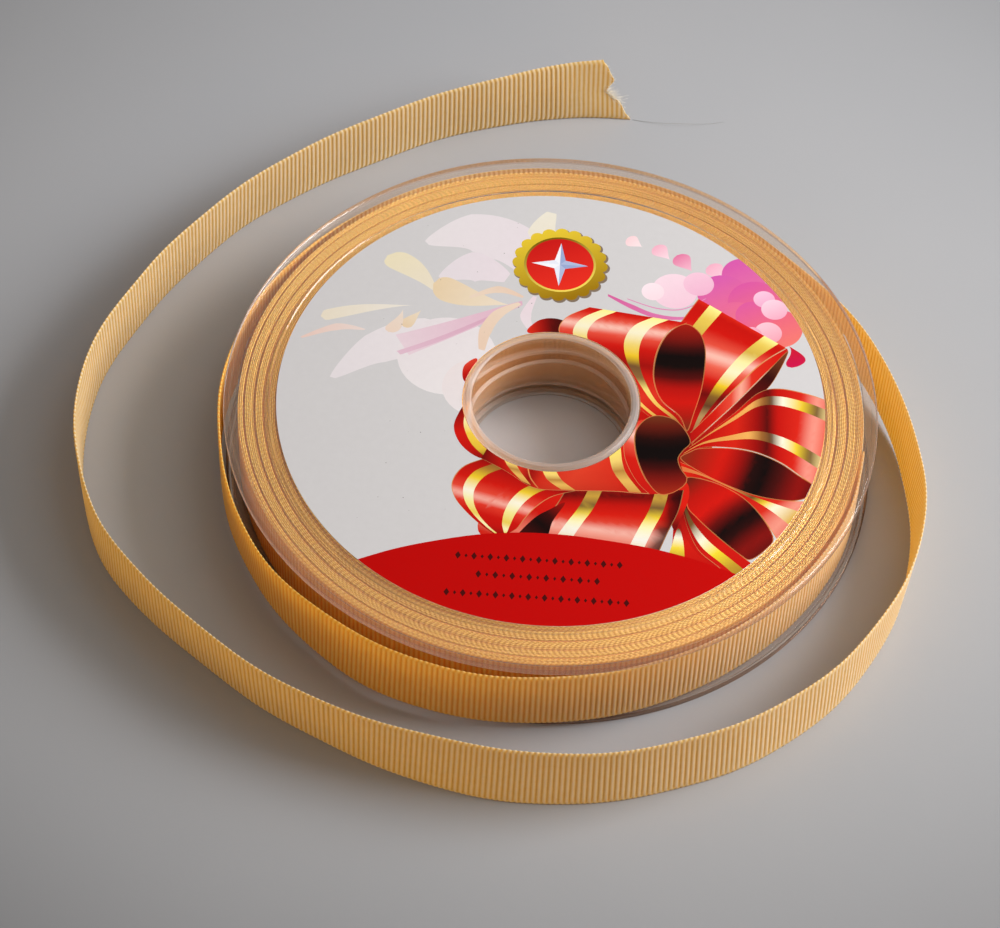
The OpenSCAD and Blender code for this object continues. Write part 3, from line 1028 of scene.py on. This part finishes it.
def flower_ring(x, y, r, depth, lobes, n=160, turn=0.0):
    a = np.linspace(0, 2 * math.pi, n, endpoint=False)
    rr = r - depth * (1 - np.abs(np.cos((a + turn) * lobes / 2)) ** 0.7)
    return np.stack([x + rr * np.cos(a), y + rr * np.sin(a)], -1)


def seal(x, y):
    """A plain generic seal: a scalloped gold ring round a red field with a white four-pointed star."""
    out = []
    tilt = lambda c0, c1, r: (lambda p: lin(c0) + (lin(c1) - lin(c0)) * np.clip(((p[:, 0] - x) * 0.4 - (p[:, 1] - y)) / (2 * r) + 0.5, 0, 1)[:, None])
    ring = [flower_ring(x, y, q, 0.1, 20)[::4] for q in (6.2, 3.4, 1.6)]
    out.append(Shape(flower_ring(x + 0.25, y - 0.3, 8.6, 0.75, 20), flat(lin((128, 112, 96)))))
    out.append(Shape(flower_ring(x, y, 8.45, 0.75, 20), tilt((226, 196, 52), (150, 112, 8), 8.4), inner=np.concatenate(ring)))
    a = np.linspace(0, 2 * math.pi, 96, endpoint=False)
    circ = lambda r: np.stack([x + r * np.cos(a), y + r * np.sin(a)], -1)
    out.append(Shape(circ(6.35), tilt((120, 92, 10), (236, 212, 90), 6.3)))
    out.append(Shape(circ(5.95), tilt((196, 22, 20), (226, 44, 30), 5.9)))
    for k in range(4):
        b = math.pi / 2 * k + math.pi / 2
        tip = np.array([x + 5.0 * math.cos(b), y + 5.0 * math.sin(b)])
        l = np.array([x + 1.35 * math.cos(b + math.pi / 4), y + 1.35 * math.sin(b + math.pi / 4)])
        r = np.array([x + 1.35 * math.cos(b - math.pi / 4), y + 1.35 * math.sin(b - math.pi / 4)])
        o = np.array([x, y])
        out.append(Shape([tip, l, o], flat(lin((240, 242, 250) if k in (0, 1) else (170, 184, 218)))))
        out.append(Shape([tip, o, r], flat(lin((150, 166, 208) if k in (0, 3) else (228, 232, 246)))))
    return out


def label_shapes():
    s = []
    # pale flourishes on the left and at the top
    s += [
        leaf([(-38, 2), (-31, 9), (-23, 12), (-14, 9)], [0.3, 3.4, 4.6, 2.2], (234, 226, 232), (240, 232, 236)),
        disc(-18.5, 8.5, 8.6, (238, 228, 233), soft=(242, 236, 238)),
        disc(-12.5, 2.0, 6.4, (242, 228, 229), soft=(240, 233, 236)),
        leaf([(-24, 34), (-16, 37), (-9, 35), (-3, 27)], [0.4, 4.4, 5.0, 1.2], (238, 230, 234), (236, 222, 232)),
        leaf([(-21, 26), (-15, 29), (-9, 27)], [0.4, 3.6, 1.0], (234, 224, 232), (238, 222, 232)),
        leaf([(-2, 43), (-3.5, 38), (-2, 33)], [0.8, 2.6, 0.3], (245, 238, 214), (240, 230, 204)),
        drop((-30.5, 30.5), (-20.2, 21.2), 2.3, (244, 230, 178), (242, 228, 202), 1.2),
        drop((-22.0, 24.6), (-8.0, 20.8), 2.7, (238, 204, 140), (244, 226, 196), -0.8),
        drop((-41.0, 15.6), (-25.0, 19.4), 1.2, (240, 226, 194), (243, 236, 222), 0.6),
        leaf([(-44, 10.5), (-38, 13.4), (-33, 13.2)], [0.15, 0.8, 0.1], (242, 196, 176), (240, 216, 206)),
        drop((-26.5, 14.4), (-23.6, 18.4), 1.1, (238, 200, 140), (243, 224, 190)),
        drop((-29.0, 13.0), (-26.8, 18.4), 1.2, (243, 210, 182), (243, 222, 200), -0.5),
        leaf([(-26.5, 10.2), (-20, 13.6), (-13.5, 17.2), (-6.0, 21.6)], [2.6, 1.9, 1.3, 0.4], (238, 208, 222), (226, 150, 188)),
        leaf([(-27.0, 8.4), (-21, 11.6), (-15, 15.4), (-8.0, 20.4)], [0.5, 0.5, 0.4, 0.15], (230, 176, 204), (214, 122, 170)),
        leaf([(-6.5, 21.4), (-10.2, 18.6), (-12.2, 14.6), (-12.6, 10.2)], [0.3, 1.0, 1.1, 0.5], (244, 214, 180), (240, 198, 160)),
        leaf([(-15.5, 22.0), (-10.5, 24.2), (-6.0, 22.8)], [0.2, 0.8, 0.2], (242, 214, 182), (238, 196, 160)),
        leaf([(-4.0, 23.2), (-5.4, 18.6), (-4.2, 15.4)], [0.3, 1.0, 0.4], (240, 214, 226), (238, 222, 230)),
    ]
    for one in s:
        pale = one.colour
        one.colour = lambda p, pale=pale: 0.62 * pale(p) + 0.38 * WHITE
    # pink petals and circles at the upper right
    s += [
        drop((11.6, 38.0), (14.4, 36.2), 1.5, (243, 206, 212), (244, 226, 230)),
        drop((16.6, 36.6), (19.4, 33.6), 1.7, (236, 172, 194), (243, 218, 228)),
        drop((20.6, 34.8), (23.4, 31.2), 1.9, (222, 116, 160), (238, 186, 206)),
        drop((26.4, 33.0), (29.4, 29.6), 1.9, (236, 170, 194), (240, 206, 220)),
        disc(32.6, 31.0, 4.0, (206, 84, 168), soft=(220, 108, 160)),
        disc(29.0, 26.2, 4.6, (206, 88, 172), soft=(226, 108, 140)),
        disc(34.8, 24.8, 5.0, (210, 84, 160), soft=(230, 110, 120)),
        disc(38.6, 19.4, 4.4, (224, 92, 130), soft=(232, 118, 108)),
        disc(31.6, 20.6, 4.2, (220, 100, 150), soft=(232, 120, 120)),
        disc(34.6, 21.8, 3.4, (214, 88, 156), soft=(228, 104, 124)),
        disc(20.4, 26.4, 4.0, (240, 214, 226), soft=(236, 196, 214)),
        disc(24.6, 28.4, 2.7, (238, 196, 216), soft=(232, 176, 204)),
        disc(16.6, 26.0, 2.0, (244, 226, 234), soft=(242, 216, 226)),
        disc(36.2, 25.8, 1.9, (240, 196, 220), soft=(232, 160, 196)),
        disc(38.0, 23.6, 2.3, (242, 206, 222), soft=(234, 166, 190)),
        disc(37.0, 18.2, 2.4, (240, 196, 210), soft=(234, 158, 176)),
        disc(34.2, 17.6, 1.7, (236, 176, 200), soft=(232, 146, 168)),
        leaf([(8.6, 24.6), (13.0, 22.2), (17.4, 20.4), (22.6, 20.4), (28.0, 22.6)], [0.2, 0.5, 0.5, 0.3, 0.1], (208, 96, 156), (218, 128, 176)),
        leaf([(12.0, 24.0), (17.4, 22.2), (22.0, 22.4), (26.0, 25.2)], [0.08, 0.12, 0.12, 0.08], (214, 128, 176), (220, 140, 184)),
        drop((41.2, 10.7), (40.6, 15.6), 1.75, (196, 16, 74), (196, 24, 40), -1.1),
    ]
    # a plain red field at the foot of the label
    foot_line = spline([(-31.5, -36.6), (-25, -33.6), (-18.6, -31.4), (-11, -29.4), (-3.8, -28.4), (3.5, -28.3), (9.5, -28.8), (16, -29.6), (21.2, -30.6), (27, -32.2), (33.5, -34.6)], 90)
    rim = [(48.5 * math.cos(a), 48.5 * math.sin(a)) for a in np.linspace(math.atan2(foot_line[-1, 1], foot_line[-1, 0]), math.atan2(foot_line[0, 1], foot_line[0, 0]), 60)]
    banner = Shape(np.concatenate([foot_line, rim[1:-1]]), sweep((-30, -38), (32, -36), [(0, (182, 1, 0)), (0.5, (186, 1, 0)), (1, (190, 2, 0))]))
    # the bow: back loops first
    s.append(patch([(18.8, -2), (23, -3), (26, -4.4), (28, -9), (27, -15), (24.6, -23), (22.4, -26), (20, -19), (19, -10)], (20, -4), (26, -22), [(0, (120, 12, 8)), (0.5, (170, 16, 8)), (1, (120, 10, 7))]))
    s.append(Band([(23.6, -5.4), (20.5, 1), (19, 9), (20.4, 16.5), (24.6, 25)], [(24.2, -5.6), (27.4, -0.4), (31.2, 5), (35.9, 11.2), (40.2, 15)], stripes=((0.13, 0.27), (0.75, 0.91)), rim=0.008, nu=56,
                  red=[(0, (120, 10, 6)), (0.15, (190, 18, 8)), (0.3, (150, 10, 6)), (0.4, (104, 6, 4)), (0.52, (204, 22, 10)), (0.62, (228, 96, 76)), (0.69, (242, 190, 176)), (0.76, (222, 80, 62)), (0.85, (200, 18, 8)), (0.95, (190, 14, 6)), (1, (214, 36, 18))],
                  gold=[(0, (150, 100, 60)), (0.2, (176, 140, 90)), (0.3, (96, 58, 34)), (0.4, (130, 92, 36)), (0.5, (232, 194, 36)), (0.62, (240, 236, 196)), (0.72, (240, 230, 160)), (0.8, (206, 172, 70)), (0.9, (226, 196, 84)), (1, (248, 242, 150))]))
    s.append(Band([(23.8, -5.2), (27.4, -0.4), (31.2, 5), (35.9, 11.2), (40.3, 15)], [(24.2, -7.3), (27.6, -3), (31.2, 1.6), (36, 8.2), (40.5, 14.4)], stripes=(), rim=0.05, nu=44,
                  red=[(0, (170, 12, 8)), (0.3, (204, 26, 12)), (0.48, (222, 70, 52)), (0.57, (240, 166, 146)), (0.66, (214, 44, 28)), (0.9, (204, 22, 12)), (1, (190, 20, 12))]))
    s += mouth([(24.2, -7.5), (27.6, -3.1), (31.2, 1.5), (36, 8.1), (40.5, 14.4), (38.4, 8.2), (36, 4.2), (31.3, -1.9), (27.3, -5.6)], (24, -7.6), (40.4, 14.4),
               [(0, (150, 14, 8)), (0.25, (184, 20, 12)), (0.5, (104, 8, 6)), (0.75, (50, 6, 5)), (1, (120, 60, 30))], edge=0.1)
    s.append(Band([(24.2, -7.8), (27.5, -4.4), (31.5, 0), (35.4, 4.6), (39, 5.9), (44.3, 5), (49, 3.2)], [(22.5, -10.2), (25.8, -8.1), (30.6, -7.7), (35.1, -8.3), (39.2, -10.1), (42.5, -12.6), (47, -16.4)], stripes=((0.11, 0.235), (0.65, 0.79)), rim=0.01, nu=52,
                  red=[(0, (150, 12, 8)), (0.18, (186, 14, 7)), (0.36, (208, 32, 16)), (0.5, (150, 9, 6)), (0.58, (84, 6, 5)), (0.66, (190, 16, 8)), (0.8, (212, 36, 22)), (0.88, (238, 150, 134)), (0.93, (230, 110, 92)), (1, (206, 40, 28))],
                  gold=[(0, (206, 136, 66)), (0.3, (226, 158, 80)), (0.45, (234, 172, 90)), (0.54, (150, 96, 44)), (0.61, (92, 62, 36)), (0.69, (246, 240, 216)), (0.79, (238, 204, 50)), (0.88, (112, 82, 44)), (0.95, (232, 208, 140)), (1, (240, 226, 170))]))
    s.append(Band([(22.4, -11.4), (25.2, -12.8), (29.7, -15.3), (35.2, -17.4), (40.3, -18.2), (46, -18)], [(23.2, -14.6), (26, -14.7), (29.7, -15.9), (33.4, -18.4), (36.4, -22), (40, -28.4)], stripes=((0.28, 0.62),), rim=0.02, nu=44,
                  red=[(0, (214, 32, 14)), (0.3, (184, 16, 8)), (0.6, (196, 20, 10)), (0.78, (212, 44, 28)), (0.88, (236, 150, 132)), (1, (206, 50, 34))],
                  gold=[(0, (214, 110, 60)), (0.45, (214, 140, 74)), (0.62, (104, 72, 36)), (0.72, (236, 200, 50)), (0.8, (246, 240, 214)), (0.92, (214, 170, 70)), (1, (190, 140, 50))]))
    s += mouth([(22.4, -10.7), (24, -9.1), (25.8, -8.2), (30.6, -7.8), (35.1, -8.4), (39.2, -10.2), (42.5, -12.7), (45.4, -15), (44.4, -16.8), (42.9, -17.9), (40.3, -18.3), (35.2, -17.6), (29.7, -15.5), (25.2, -13)], (22.4, -9.4), (45.2, -16.4),
               [(0, (116, 48, 22)), (0.1, (150, 30, 14)), (0.3, (204, 22, 10)), (0.42, (150, 11, 7)), (0.52, (34, 5, 4)), (0.62, (10, 2, 2)), (0.73, (70, 8, 6)), (0.88, (140, 12, 8)), (1, (76, 7, 6))], bend=0.35)
    s.append(patch([(22.2, -20.6), (24.4, -22), (28, -27), (32, -33), (34.5, -37), (28, -37), (22.4, -34.2), (21.6, -28)], (22.4, -21), (30, -35), [(0, (120, 11, 7)), (0.4, (196, 20, 11)), (1, (176, 14, 8))]))
    s.append(Band([(23.9, -20.4), (25.5, -23), (28.8, -26.4), (32.9, -30.1), (36.4, -33)], [(23, -21), (24.1, -25.5), (26, -29.8), (29.3, -32.9), (33, -36.6)], stripes=((0.4, 0.8),), rim=0.02,
                  red=[(0, (70, 7, 5)), (0.3, (170, 14, 8)), (0.6, (204, 22, 12)), (1, (190, 16, 9))],
                  gold=[(0, (84, 56, 28)), (0.26, (116, 82, 42)), (0.44, (244, 240, 216)), (0.62, (240, 218, 50)), (0.8, (190, 150, 44)), (1, (140, 104, 36))]))
    s += mouth([(23.5, -14.8), (26, -14.7), (29.7, -15.9), (33.4, -18.3), (36.4, -21.9), (38.4, -26.2), (37.2, -28.7), (34.7, -31), (32.9, -30.2), (28.8, -26.5), (25.5, -23.1), (23.8, -20.8), (23.9, -17.8)], (23.4, -15.4), (37.6, -29.4),
               [(0, (96, 28, 14)), (0.18, (186, 18, 9)), (0.34, (206, 20, 10)), (0.48, (100, 8, 6)), (0.58, (14, 3, 3)), (0.68, (40, 5, 4)), (0.84, (130, 13, 9)), (1, (84, 9, 7))], bend=-0.3)
    s.append(patch([(22.6, -24.6), (23.6, -27), (26, -30.6), (30, -33.6), (28, -35), (22.6, -34.6), (21.4, -30)], (23, -25), (25, -33), [(0, (150, 12, 8)), (0.4, (206, 26, 14)), (1, (190, 16, 8))]))
    s.append(patch([(22.5, -25.4), (23.5, -29), (23.4, -34), (20.8, -33.4), (21.5, -29)], (22.5, -25.6), (22.2, -32.6), [(0, (110, 78, 40)), (0.25, (244, 240, 220)), (0.55, (240, 214, 60)), (1, (150, 110, 40))], n=24))
    s.append(patch([(21.4, -17.6), (23.6, -15.8), (24.1, -18.8), (22.8, -23.6), (21.8, -26), (20.8, -22)], (22.6, -16), (22, -25), [(0, (206, 30, 14)), (0.5, (214, 26, 12)), (1, (110, 10, 6))], n=24))
    s.append(patch([(12, -1), (17, 2), (22, -2), (24, -6), (20, -10), (14, -7)], (12, -2), (24, -6), [(0, (196, 18, 10)), (0.5, (170, 14, 8)), (1, (150, 12, 8))]))
    # lower middle loop, hanging
    s.append(patch([(-10, -24), (-5, -18.6), (0, -17.6), (4, -18.4), (3.6, -22), (1.6, -27), (0.4, -31), (-6, -31), (-10.6, -29)], (-2, -18), (-6, -30), [(0, (206, 26, 12)), (0.45, (196, 18, 9)), (0.8, (226, 120, 100)), (1, (200, 30, 16))]))
    s.append(Band([(3.6, -18.2), (1.8, -22.4), (-0.2, -25.6), (-3.2, -30.6)], [(23.2, -17.4), (22.4, -22), (20.6, -27), (18, -35)], stripes=((0.19, 0.31), (0.76, 0.875)), rim=0.008, nu=48,
                  red=[(0, (176, 14, 8)), (0.14, (96, 6, 4)), (0.28, (190, 15, 7)), (0.46, (210, 26, 12)), (0.6, (218, 66, 48)), (0.7, (240, 180, 166)), (0.77, (234, 140, 122)), (0.88, (208, 34, 20)), (1, (196, 18, 10))],
                  gold=[(0, (146, 104, 56)), (0.16, (196, 154, 60)), (0.3, (112, 82, 46)), (0.46, (236, 204, 54)), (0.6, (246, 240, 180)), (0.74, (240, 238, 230)), (0.9, (222, 190, 90)), (1, (200, 160, 60))],
                  cross=lambda v: np.interp(v, [0, 0.05, 0.88, 0.92, 1], [0.75, 1, 0.95, 0.3, 0.1])))
    s.append(patch([(3.4, -21.6), (0.9, -23.2), (-1.4, -25), (-3.8, -28.2), (-4.4, -29.8), (0.2, -29.8), (1.5, -25.6)], (3, -22), (-3, -29), [(0, (140, 12, 7)), (0.35, (54, 6, 5)), (0.6, (16, 3, 3)), (1, (64, 7, 6))]))
    s.append(banner)
    # loop at the lower left, curling over
    s.append(Band([(-9.6, -12.8), (-14, -15.2), (-15.8, -18.6), (-15.2, -21.8), (-13.2, -24.6), (-10.6, -27.2), (-8.4, -28.9)], [(5, -19), (1.4, -20.4), (-1, -22.4), (-2.9, -25), (-4.2, -27.4), (-5, -28.2), (-5.6, -28.6)], stripes=((0.14, 0.27), (0.7, 0.85)), rim=0.01, nu=48,
                  red=[(0, (104, 8, 5)), (0.12, (176, 13, 7)), (0.25, (202, 22, 10)), (0.36, (222, 70, 52)), (0.43, (240, 172, 158)), (0.5, (218, 54, 38)), (0.62, (196, 17, 8)), (0.8, (186, 15, 8)), (1, (150, 11, 7))],
                  gold=[(0, (112, 74, 38)), (0.12, (164, 114, 46)), (0.24, (236, 202, 44)), (0.38, (246, 242, 222)), (0.5, (240, 230, 150)), (0.64, (230, 202, 84)), (0.8, (244, 238, 186)), (1, (232, 214, 110))]))
    # left pieces beside the hole
    s.append(patch([(-13.2, 8.2), (-15.1, 7), (-15.6, 5.2), (-15.2, 3.2), (-13.8, 3)], (-15.4, 7), (-13.6, 3.4), [(0, (216, 64, 44)), (0.5, (190, 18, 10)), (1, (150, 12, 8))], n=24))
    s.append(patch([(-14, -1), (-16, -5), (-16.1, -8), (-14.4, -11.2), (-11.2, -13.4), (-7.4, -13.2), (-12, -6)], (-14, -1.4), (-11, -13.4), [(0, (50, 7, 5)), (0.2, (150, 12, 7)), (0.5, (204, 22, 12)), (0.8, (190, 17, 9)), (1, (130, 11, 7))]))
    s.append(Band([(-14.1, -2), (-14.7, -6), (-13.2, -10.2), (-10.6, -13)], [(-12.4, -3.4), (-13, -6.4), (-11.7, -9.8), (-9, -12.6)], stripes=((0.02, 0.98),), rim=0.004, nu=24,
                  gold=[(0, (116, 84, 38)), (0.25, (244, 238, 180)), (0.5, (238, 202, 70)), (0.8, (222, 184, 54)), (1, (112, 78, 38))]))
    # the front band below the hole, with its open end on the right
    low = [(-11.2, -13.4), (-7, -15.7), (-3.6, -18.1), (-1, -19.1), (4.1, -19), (11.4, -18.6), (15, -18.7), (19, -18.6)]
    s.append(Band([(-9.4, -8.6), (-6, -10.6), (-2, -12), (3, -12.6), (7.4, -11.6), (10.6, -9.2), (12.6, -6.4), (17, -2)], low, stripes=(), nu=64, rim=0.01,
                  red=[(0, (110, 9, 6)), (0.12, (190, 20, 10)), (0.22, (214, 46, 26)), (0.3, (150, 12, 8)), (0.38, (208, 42, 24)), (0.55, (218, 62, 38)), (0.74, (212, 44, 26)), (0.88, (200, 22, 12)), (1, (208, 34, 20))],
                  cross=lambda v: np.interp(v, [0, 0.3, 0.8, 1], [1.12, 1.0, 0.9, 0.78])))
    for a, m1, b, c, m2, d in (((-7.8, -12.4), (-6.4, -15.0), (-4.2, -17.6), (-5.8, -12.9), (-4.6, -15.4), (-2.5, -18.4)), ((-1.0, -14.6), (0.2, -17.0), (2.6, -18.9), (1.4, -14.7), (2.6, -16.9), (5.0, -18.85)), ((10.2, -10.2), (11.2, -14.4), (14.0, -18.5), (12.2, -8.8), (13.1, -14.0), (16.1, -18.5))):
        s.append(Band([a, m1, b], [c, m2, d], stripes=((0.01, 0.99),), rim=0.004, nu=22,
                      gold=[(0, (244, 230, 110)), (0.3, (238, 206, 112)), (0.5, (180, 130, 60)), (0.7, (226, 180, 90)), (1, (200, 140, 66))]))
    s.append(leaf([(-3.3, -14.4), (-2.7, -16.8), (-1.3, -18.9)], [0.11, 0.11, 0.11], (222, 150, 84), (200, 110, 60)))
    # upper left loop, whose open end looks to the right
    s.append(patch([(-4.8, 14.8), (-3.7, 17.2), (-1.8, 18.3), (0.5, 18.3), (2.2, 17.2), (0.9, 14.8)], (-4.6, 16), (2, 17), [(0, (210, 40, 22)), (0.35, (150, 14, 8)), (0.6, (84, 8, 6)), (1, (60, 7, 5))], n=30))
    s.append(Band([(5.6, 21.5), (1.6, 18.8), (0.6, 15.2), (4, 11), (10, 5), (15, -0.4), (19.4, -4), (22.8, -5.8)], [(22.8, 19.3), (19.9, 17.3), (18.1, 13.6), (17.3, 9.1), (17.5, 5.2), (18.9, 1.5), (21.8, -1.5), (23, -4.4)], stripes=((0.14, 0.28), (0.65, 0.81)), nu=64, rim=0.008,
                  red=[(0, (190, 18, 8)), (0.06, (206, 26, 12)), (0.13, (226, 90, 70)), (0.18, (243, 196, 182)), (0.24, (222, 76, 58)), (0.32, (198, 20, 10)), (0.44, (150, 11, 7)), (0.52, (196, 22, 12)), (0.66, (214, 50, 32)), (0.8, (190, 18, 10)), (1, (140, 12, 8))],
                  gold=[(0, (246, 238, 140)), (0.1, (244, 236, 176)), (0.2, (240, 234, 204)), (0.3, (232, 206, 110)), (0.38, (230, 190, 36)), (0.45, (110, 76, 44)), (0.54, (136, 100, 56)), (0.62, (240, 216, 120)), (0.74, (234, 184, 84)), (0.88, (170, 110, 54)), (1, (120, 80, 40))]))
    s += mouth([(22.6, 19.1), (19.9, 17.2), (18.1, 13.6), (17.3, 9.1), (17.5, 5.2), (18.9, 1.5), (22, -1.6), (23.4, -4.8), (24.5, -0.9), (25.7, 4.5), (26.2, 9.8), (26.1, 14.2), (25, 17.4)], (22, 19.2), (22.8, -4.8),
               [(0, (160, 26, 14)), (0.14, (120, 18, 11)), (0.24, (60, 9, 7)), (0.31, (12, 3, 3)), (0.42, (16, 4, 3)), (0.52, (80, 8, 6)), (0.62, (176, 15, 9)), (0.74, (200, 20, 10)), (0.88, (160, 24, 12)), (1, (104, 46, 22))], bend=0.5)
    # open end of the front band
    s.append(Band([(15.6, -2.9), (13.4, -4.6), (12.7, -8), (13.2, -12), (15.2, -16.2), (17.4, -18.7)], [(17.8, -2), (14.8, -5.3), (14.6, -8.8), (15.4, -12.4), (16.9, -16), (19.2, -18.5)], stripes=(), nu=40, rim=0.04,
                  red=[(0, (206, 30, 18)), (0.14, (222, 70, 52)), (0.26, (243, 196, 182)), (0.38, (222, 80, 60)), (0.55, (204, 26, 14)), (1, (190, 20, 12))]))
    s += mouth([(15.9, -3), (17.7, -1.8), (19.7, -1.8), (21.6, -2.6), (23.3, -4.8), (24.1, -7.2), (22.9, -9), (22.1, -10.8), (22.6, -12.8), (23.7, -14.8), (23.1, -16.6), (21, -18.3), (18.9, -18.5), (16.9, -16), (15.4, -12.4), (14.6, -8.8), (14.6, -5.5)], (18.6, -1.6), (19.8, -18.6),
               [(0, (110, 50, 24)), (0.14, (96, 24, 12)), (0.3, (34, 6, 4)), (0.42, (10, 3, 3)), (0.56, (12, 3, 3)), (0.68, (64, 7, 5)), (0.84, (126, 20, 12)), (1, (160, 40, 18))], bend=0.4)
    s += seal(0.0, 30.9)
    # a plain printed ornament on the red field: three beaded rules
    dark = (70, 8, 8)
    for y, half, k in ((-33.8, 13.4, 21), (-37.4, 9.8, 15), (-41.4, 14.8, 23)):
        for i in range(k):
            x = -0.4 + (i - (k - 1) / 2) * (2 * half / (k - 1))
            big = 0.78 if i % 2 == 0 else 0.42
            s.append(Shape([(x - big * 0.62, y), (x, y - big), (x + big * 0.62, y), (x, y + big)], flat(lin(dark))))
    # a few specks of ink
    rng = np.random.default_rng(11)
    for _ in range(26):
        a, r = rng.uniform(1.7, 4.4), rng.uniform(18, 45)
        s.append(disc(r * math.cos(a), r * math.sin(a), rng.uniform(0.04, 0.1), (120, 116, 116), n=7))
    return s


def label():
    shapes = label_shapes()
    edge_n = 360
    ring = [(LABEL_R * math.cos(a), LABEL_R * math.sin(a)) for a in np.linspace(0, 2 * math.pi, edge_n, endpoint=False)]
    hole_n = 160
    hole = [(LABEL_HOLE * math.cos(a), LABEL_HOLE * math.sin(a)) for a in np.linspace(0, 2 * math.pi, hole_n, endpoint=False)]
    pts, edges = [], []

    def loop(line, closed=True):
        base = len(pts)
        pts.extend([tuple(p) for p in line])
        k = len(line)
        edges.extend([(base + i, base + (i + 1) % k) for i in range(k if closed else k - 1)])

    loop(ring)
    loop(hole)
    for s in shapes:
        loop(s.outline)
        for l in s.lines:
            loop(l, False)
        pts.extend([tuple(p) for p in s.inner])
    for r in np.arange(17, 47, 2.2):
        k = int(2 * math.pi * r / 2.2)
        pts.extend([(r * math.cos(2 * math.pi * (i + (r % 1)) / k), r * math.sin(2 * math.pi * (i + (r % 1)) / k)) for i in range(k)])
    vs, _, fs, *_ = delaunay_2d_cdt([Vector(p) for p in pts], edges, [], 0, 1e-5, False)
    v = np.array([tuple(p) for p in vs])
    tris = np.array([f for f in fs if len(f) == 3], int)
    c = v[tris].mean(1)
    rad = np.hypot(c[:, 0], c[:, 1])
    area = np.abs(np.cross(v[tris[:, 1]] - v[tris[:, 0]], v[tris[:, 2]] - v[tris[:, 0]]))
    keep = inside(np.array(ring), c) & ~inside(np.array(hole), c) & (area > 1e-9)
    tris, c = tris[keep], c[keep]
    d = v[tris]
    turn = (d[:, 1, 0] - d[:, 0, 0]) * (d[:, 2, 1] - d[:, 0, 1]) - (d[:, 1, 1] - d[:, 0, 1]) * (d[:, 2, 0] - d[:, 0, 0])
    tris[turn < 0] = tris[turn < 0][:, ::-1]
    owner = np.full(len(tris), -1)
    for i, s in enumerate(shapes):
        lo, hi = s.outline.min(0), s.outline.max(0)
        near = np.where((c >= lo).all(1) & (c <= hi).all(1))[0]
        if len(near):
            owner[near[inside(s.outline, c[near])]] = i
    colours = np.broadcast_to(WHITE, (len(tris), 3, 3)).copy()
    for i, s in enumerate(shapes):
        mine = np.where(owner == i)[0]
        if len(mine):
            p = v[tris[mine]].reshape(-1, 2)
            centre = np.repeat(c[mine], 3, 0)
            colours[mine] = s.colour(p * 0.99 + centre * 0.01).reshape(-1, 3, 3)
    # drop unused points, then add the underside and the two thin walls
    used, back = np.unique(tris, return_inverse=True)
    tris = back.reshape(-1, 3)
    v = v[used]
    n = len(v)
    z1, z0 = HIGH_OUT + 0.12, HIGH_OUT + 0.004
    co = np.concatenate([np.c_[v, np.full(n, z1)], np.c_[v, np.full(n, z0)]])
    counts = {}
    for t in tris:
        for k in range(3):
            e = (t[k], t[(k + 1) % 3])
            counts[tuple(sorted(e))] = counts.get(tuple(sorted(e)), 0) + 1
    faces = tris.tolist() + (tris[:, ::-1] + n).tolist()
    mat = [0] * len(tris) + [1] * len(tris)
    walls = []
    for t in tris:
        for k in range(3):
            a, b = int(t[k]), int(t[(k + 1) % 3])
            if counts[(min(a, b), max(a, b))] == 1:
                walls.append([b, a, a + n, b + n])
    faces += walls
    mat += [1] * len(walls)
    white = np.append(WHITE, 1.0)
    col = [np.concatenate([colours, np.ones(colours.shape[:2] + (1,))], -1).reshape(-1, 4)]
    col.append(np.broadcast_to(white, (len(tris) * 3 + len(walls) * 4, 4)))
    obj = build("label_sheet", co, faces, [label_material(), paper_material()], smooth_faces=False, face_mat=mat, colours=np.concatenate(col))
    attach(obj, "spool")
    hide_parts("front_label")
    return obj


label()


# ------------------------------------------------------------------ table and light
def studio():
    size = 3.0
    me = bpy.data.meshes.new("table")
    me.from_pydata([(-size, -size, 0), (size, -size, 0), (size, size, 0), (-size, size, 0)], [], [(0, 1, 2, 3)])
    me.materials.append(floor_material())
    table = bpy.data.objects.new("table", me)
    bpy.context.scene.collection.objects.link(table)

    def lamp(name, place, target, size, power, colour=(1, 1, 1)):
        data = bpy.data.lights.new(name, "AREA")
        data.shape, data.size, data.size_y = "RECTANGLE", size[0], size[1]
        data.energy, data.color = power, colour
        obj = bpy.data.objects.new(name, data)
        bpy.context.scene.collection.objects.link(obj)
        obj.location = place
        obj.rotation_euler = (Vector(target) - Vector(place)).to_track_quat("-Z", "Y").to_euler()
        return obj

    lamp("window", (0.58, 0.087, 0.366), (0, 0, 0), (0.42, 0.36), 6.55, (0.985, 0.99, 1.0))
    lamp("ceiling", (0.50, 0.2, 0.85), (0, 0.02, 0), (0.7, 0.8), 2.35, (1.0, 0.965, 0.93))
    lamp("warm_wall", (0.33, -0.66, 0.2), (0, 0, 0.01), (0.7, 0.3), 1.2, (1.0, 0.66, 0.24))
    world = bpy.data.worlds.new("room")
    world.use_nodes = True
    world.node_tree.nodes["Background"].inputs["Color"].default_value = (1.0, 0.93, 0.86, 1)
    world.node_tree.nodes["Background"].inputs["Strength"].default_value = 0.27
    scene = bpy.context.scene
    scene.world = world
    scene.view_settings.view_transform = "Standard"
    scene.cycles.max_bounces, scene.cycles.diffuse_bounces, scene.cycles.transmission_bounces = 20, 8, 14
    scene.cycles.transparent_max_bounces = 32


studio()
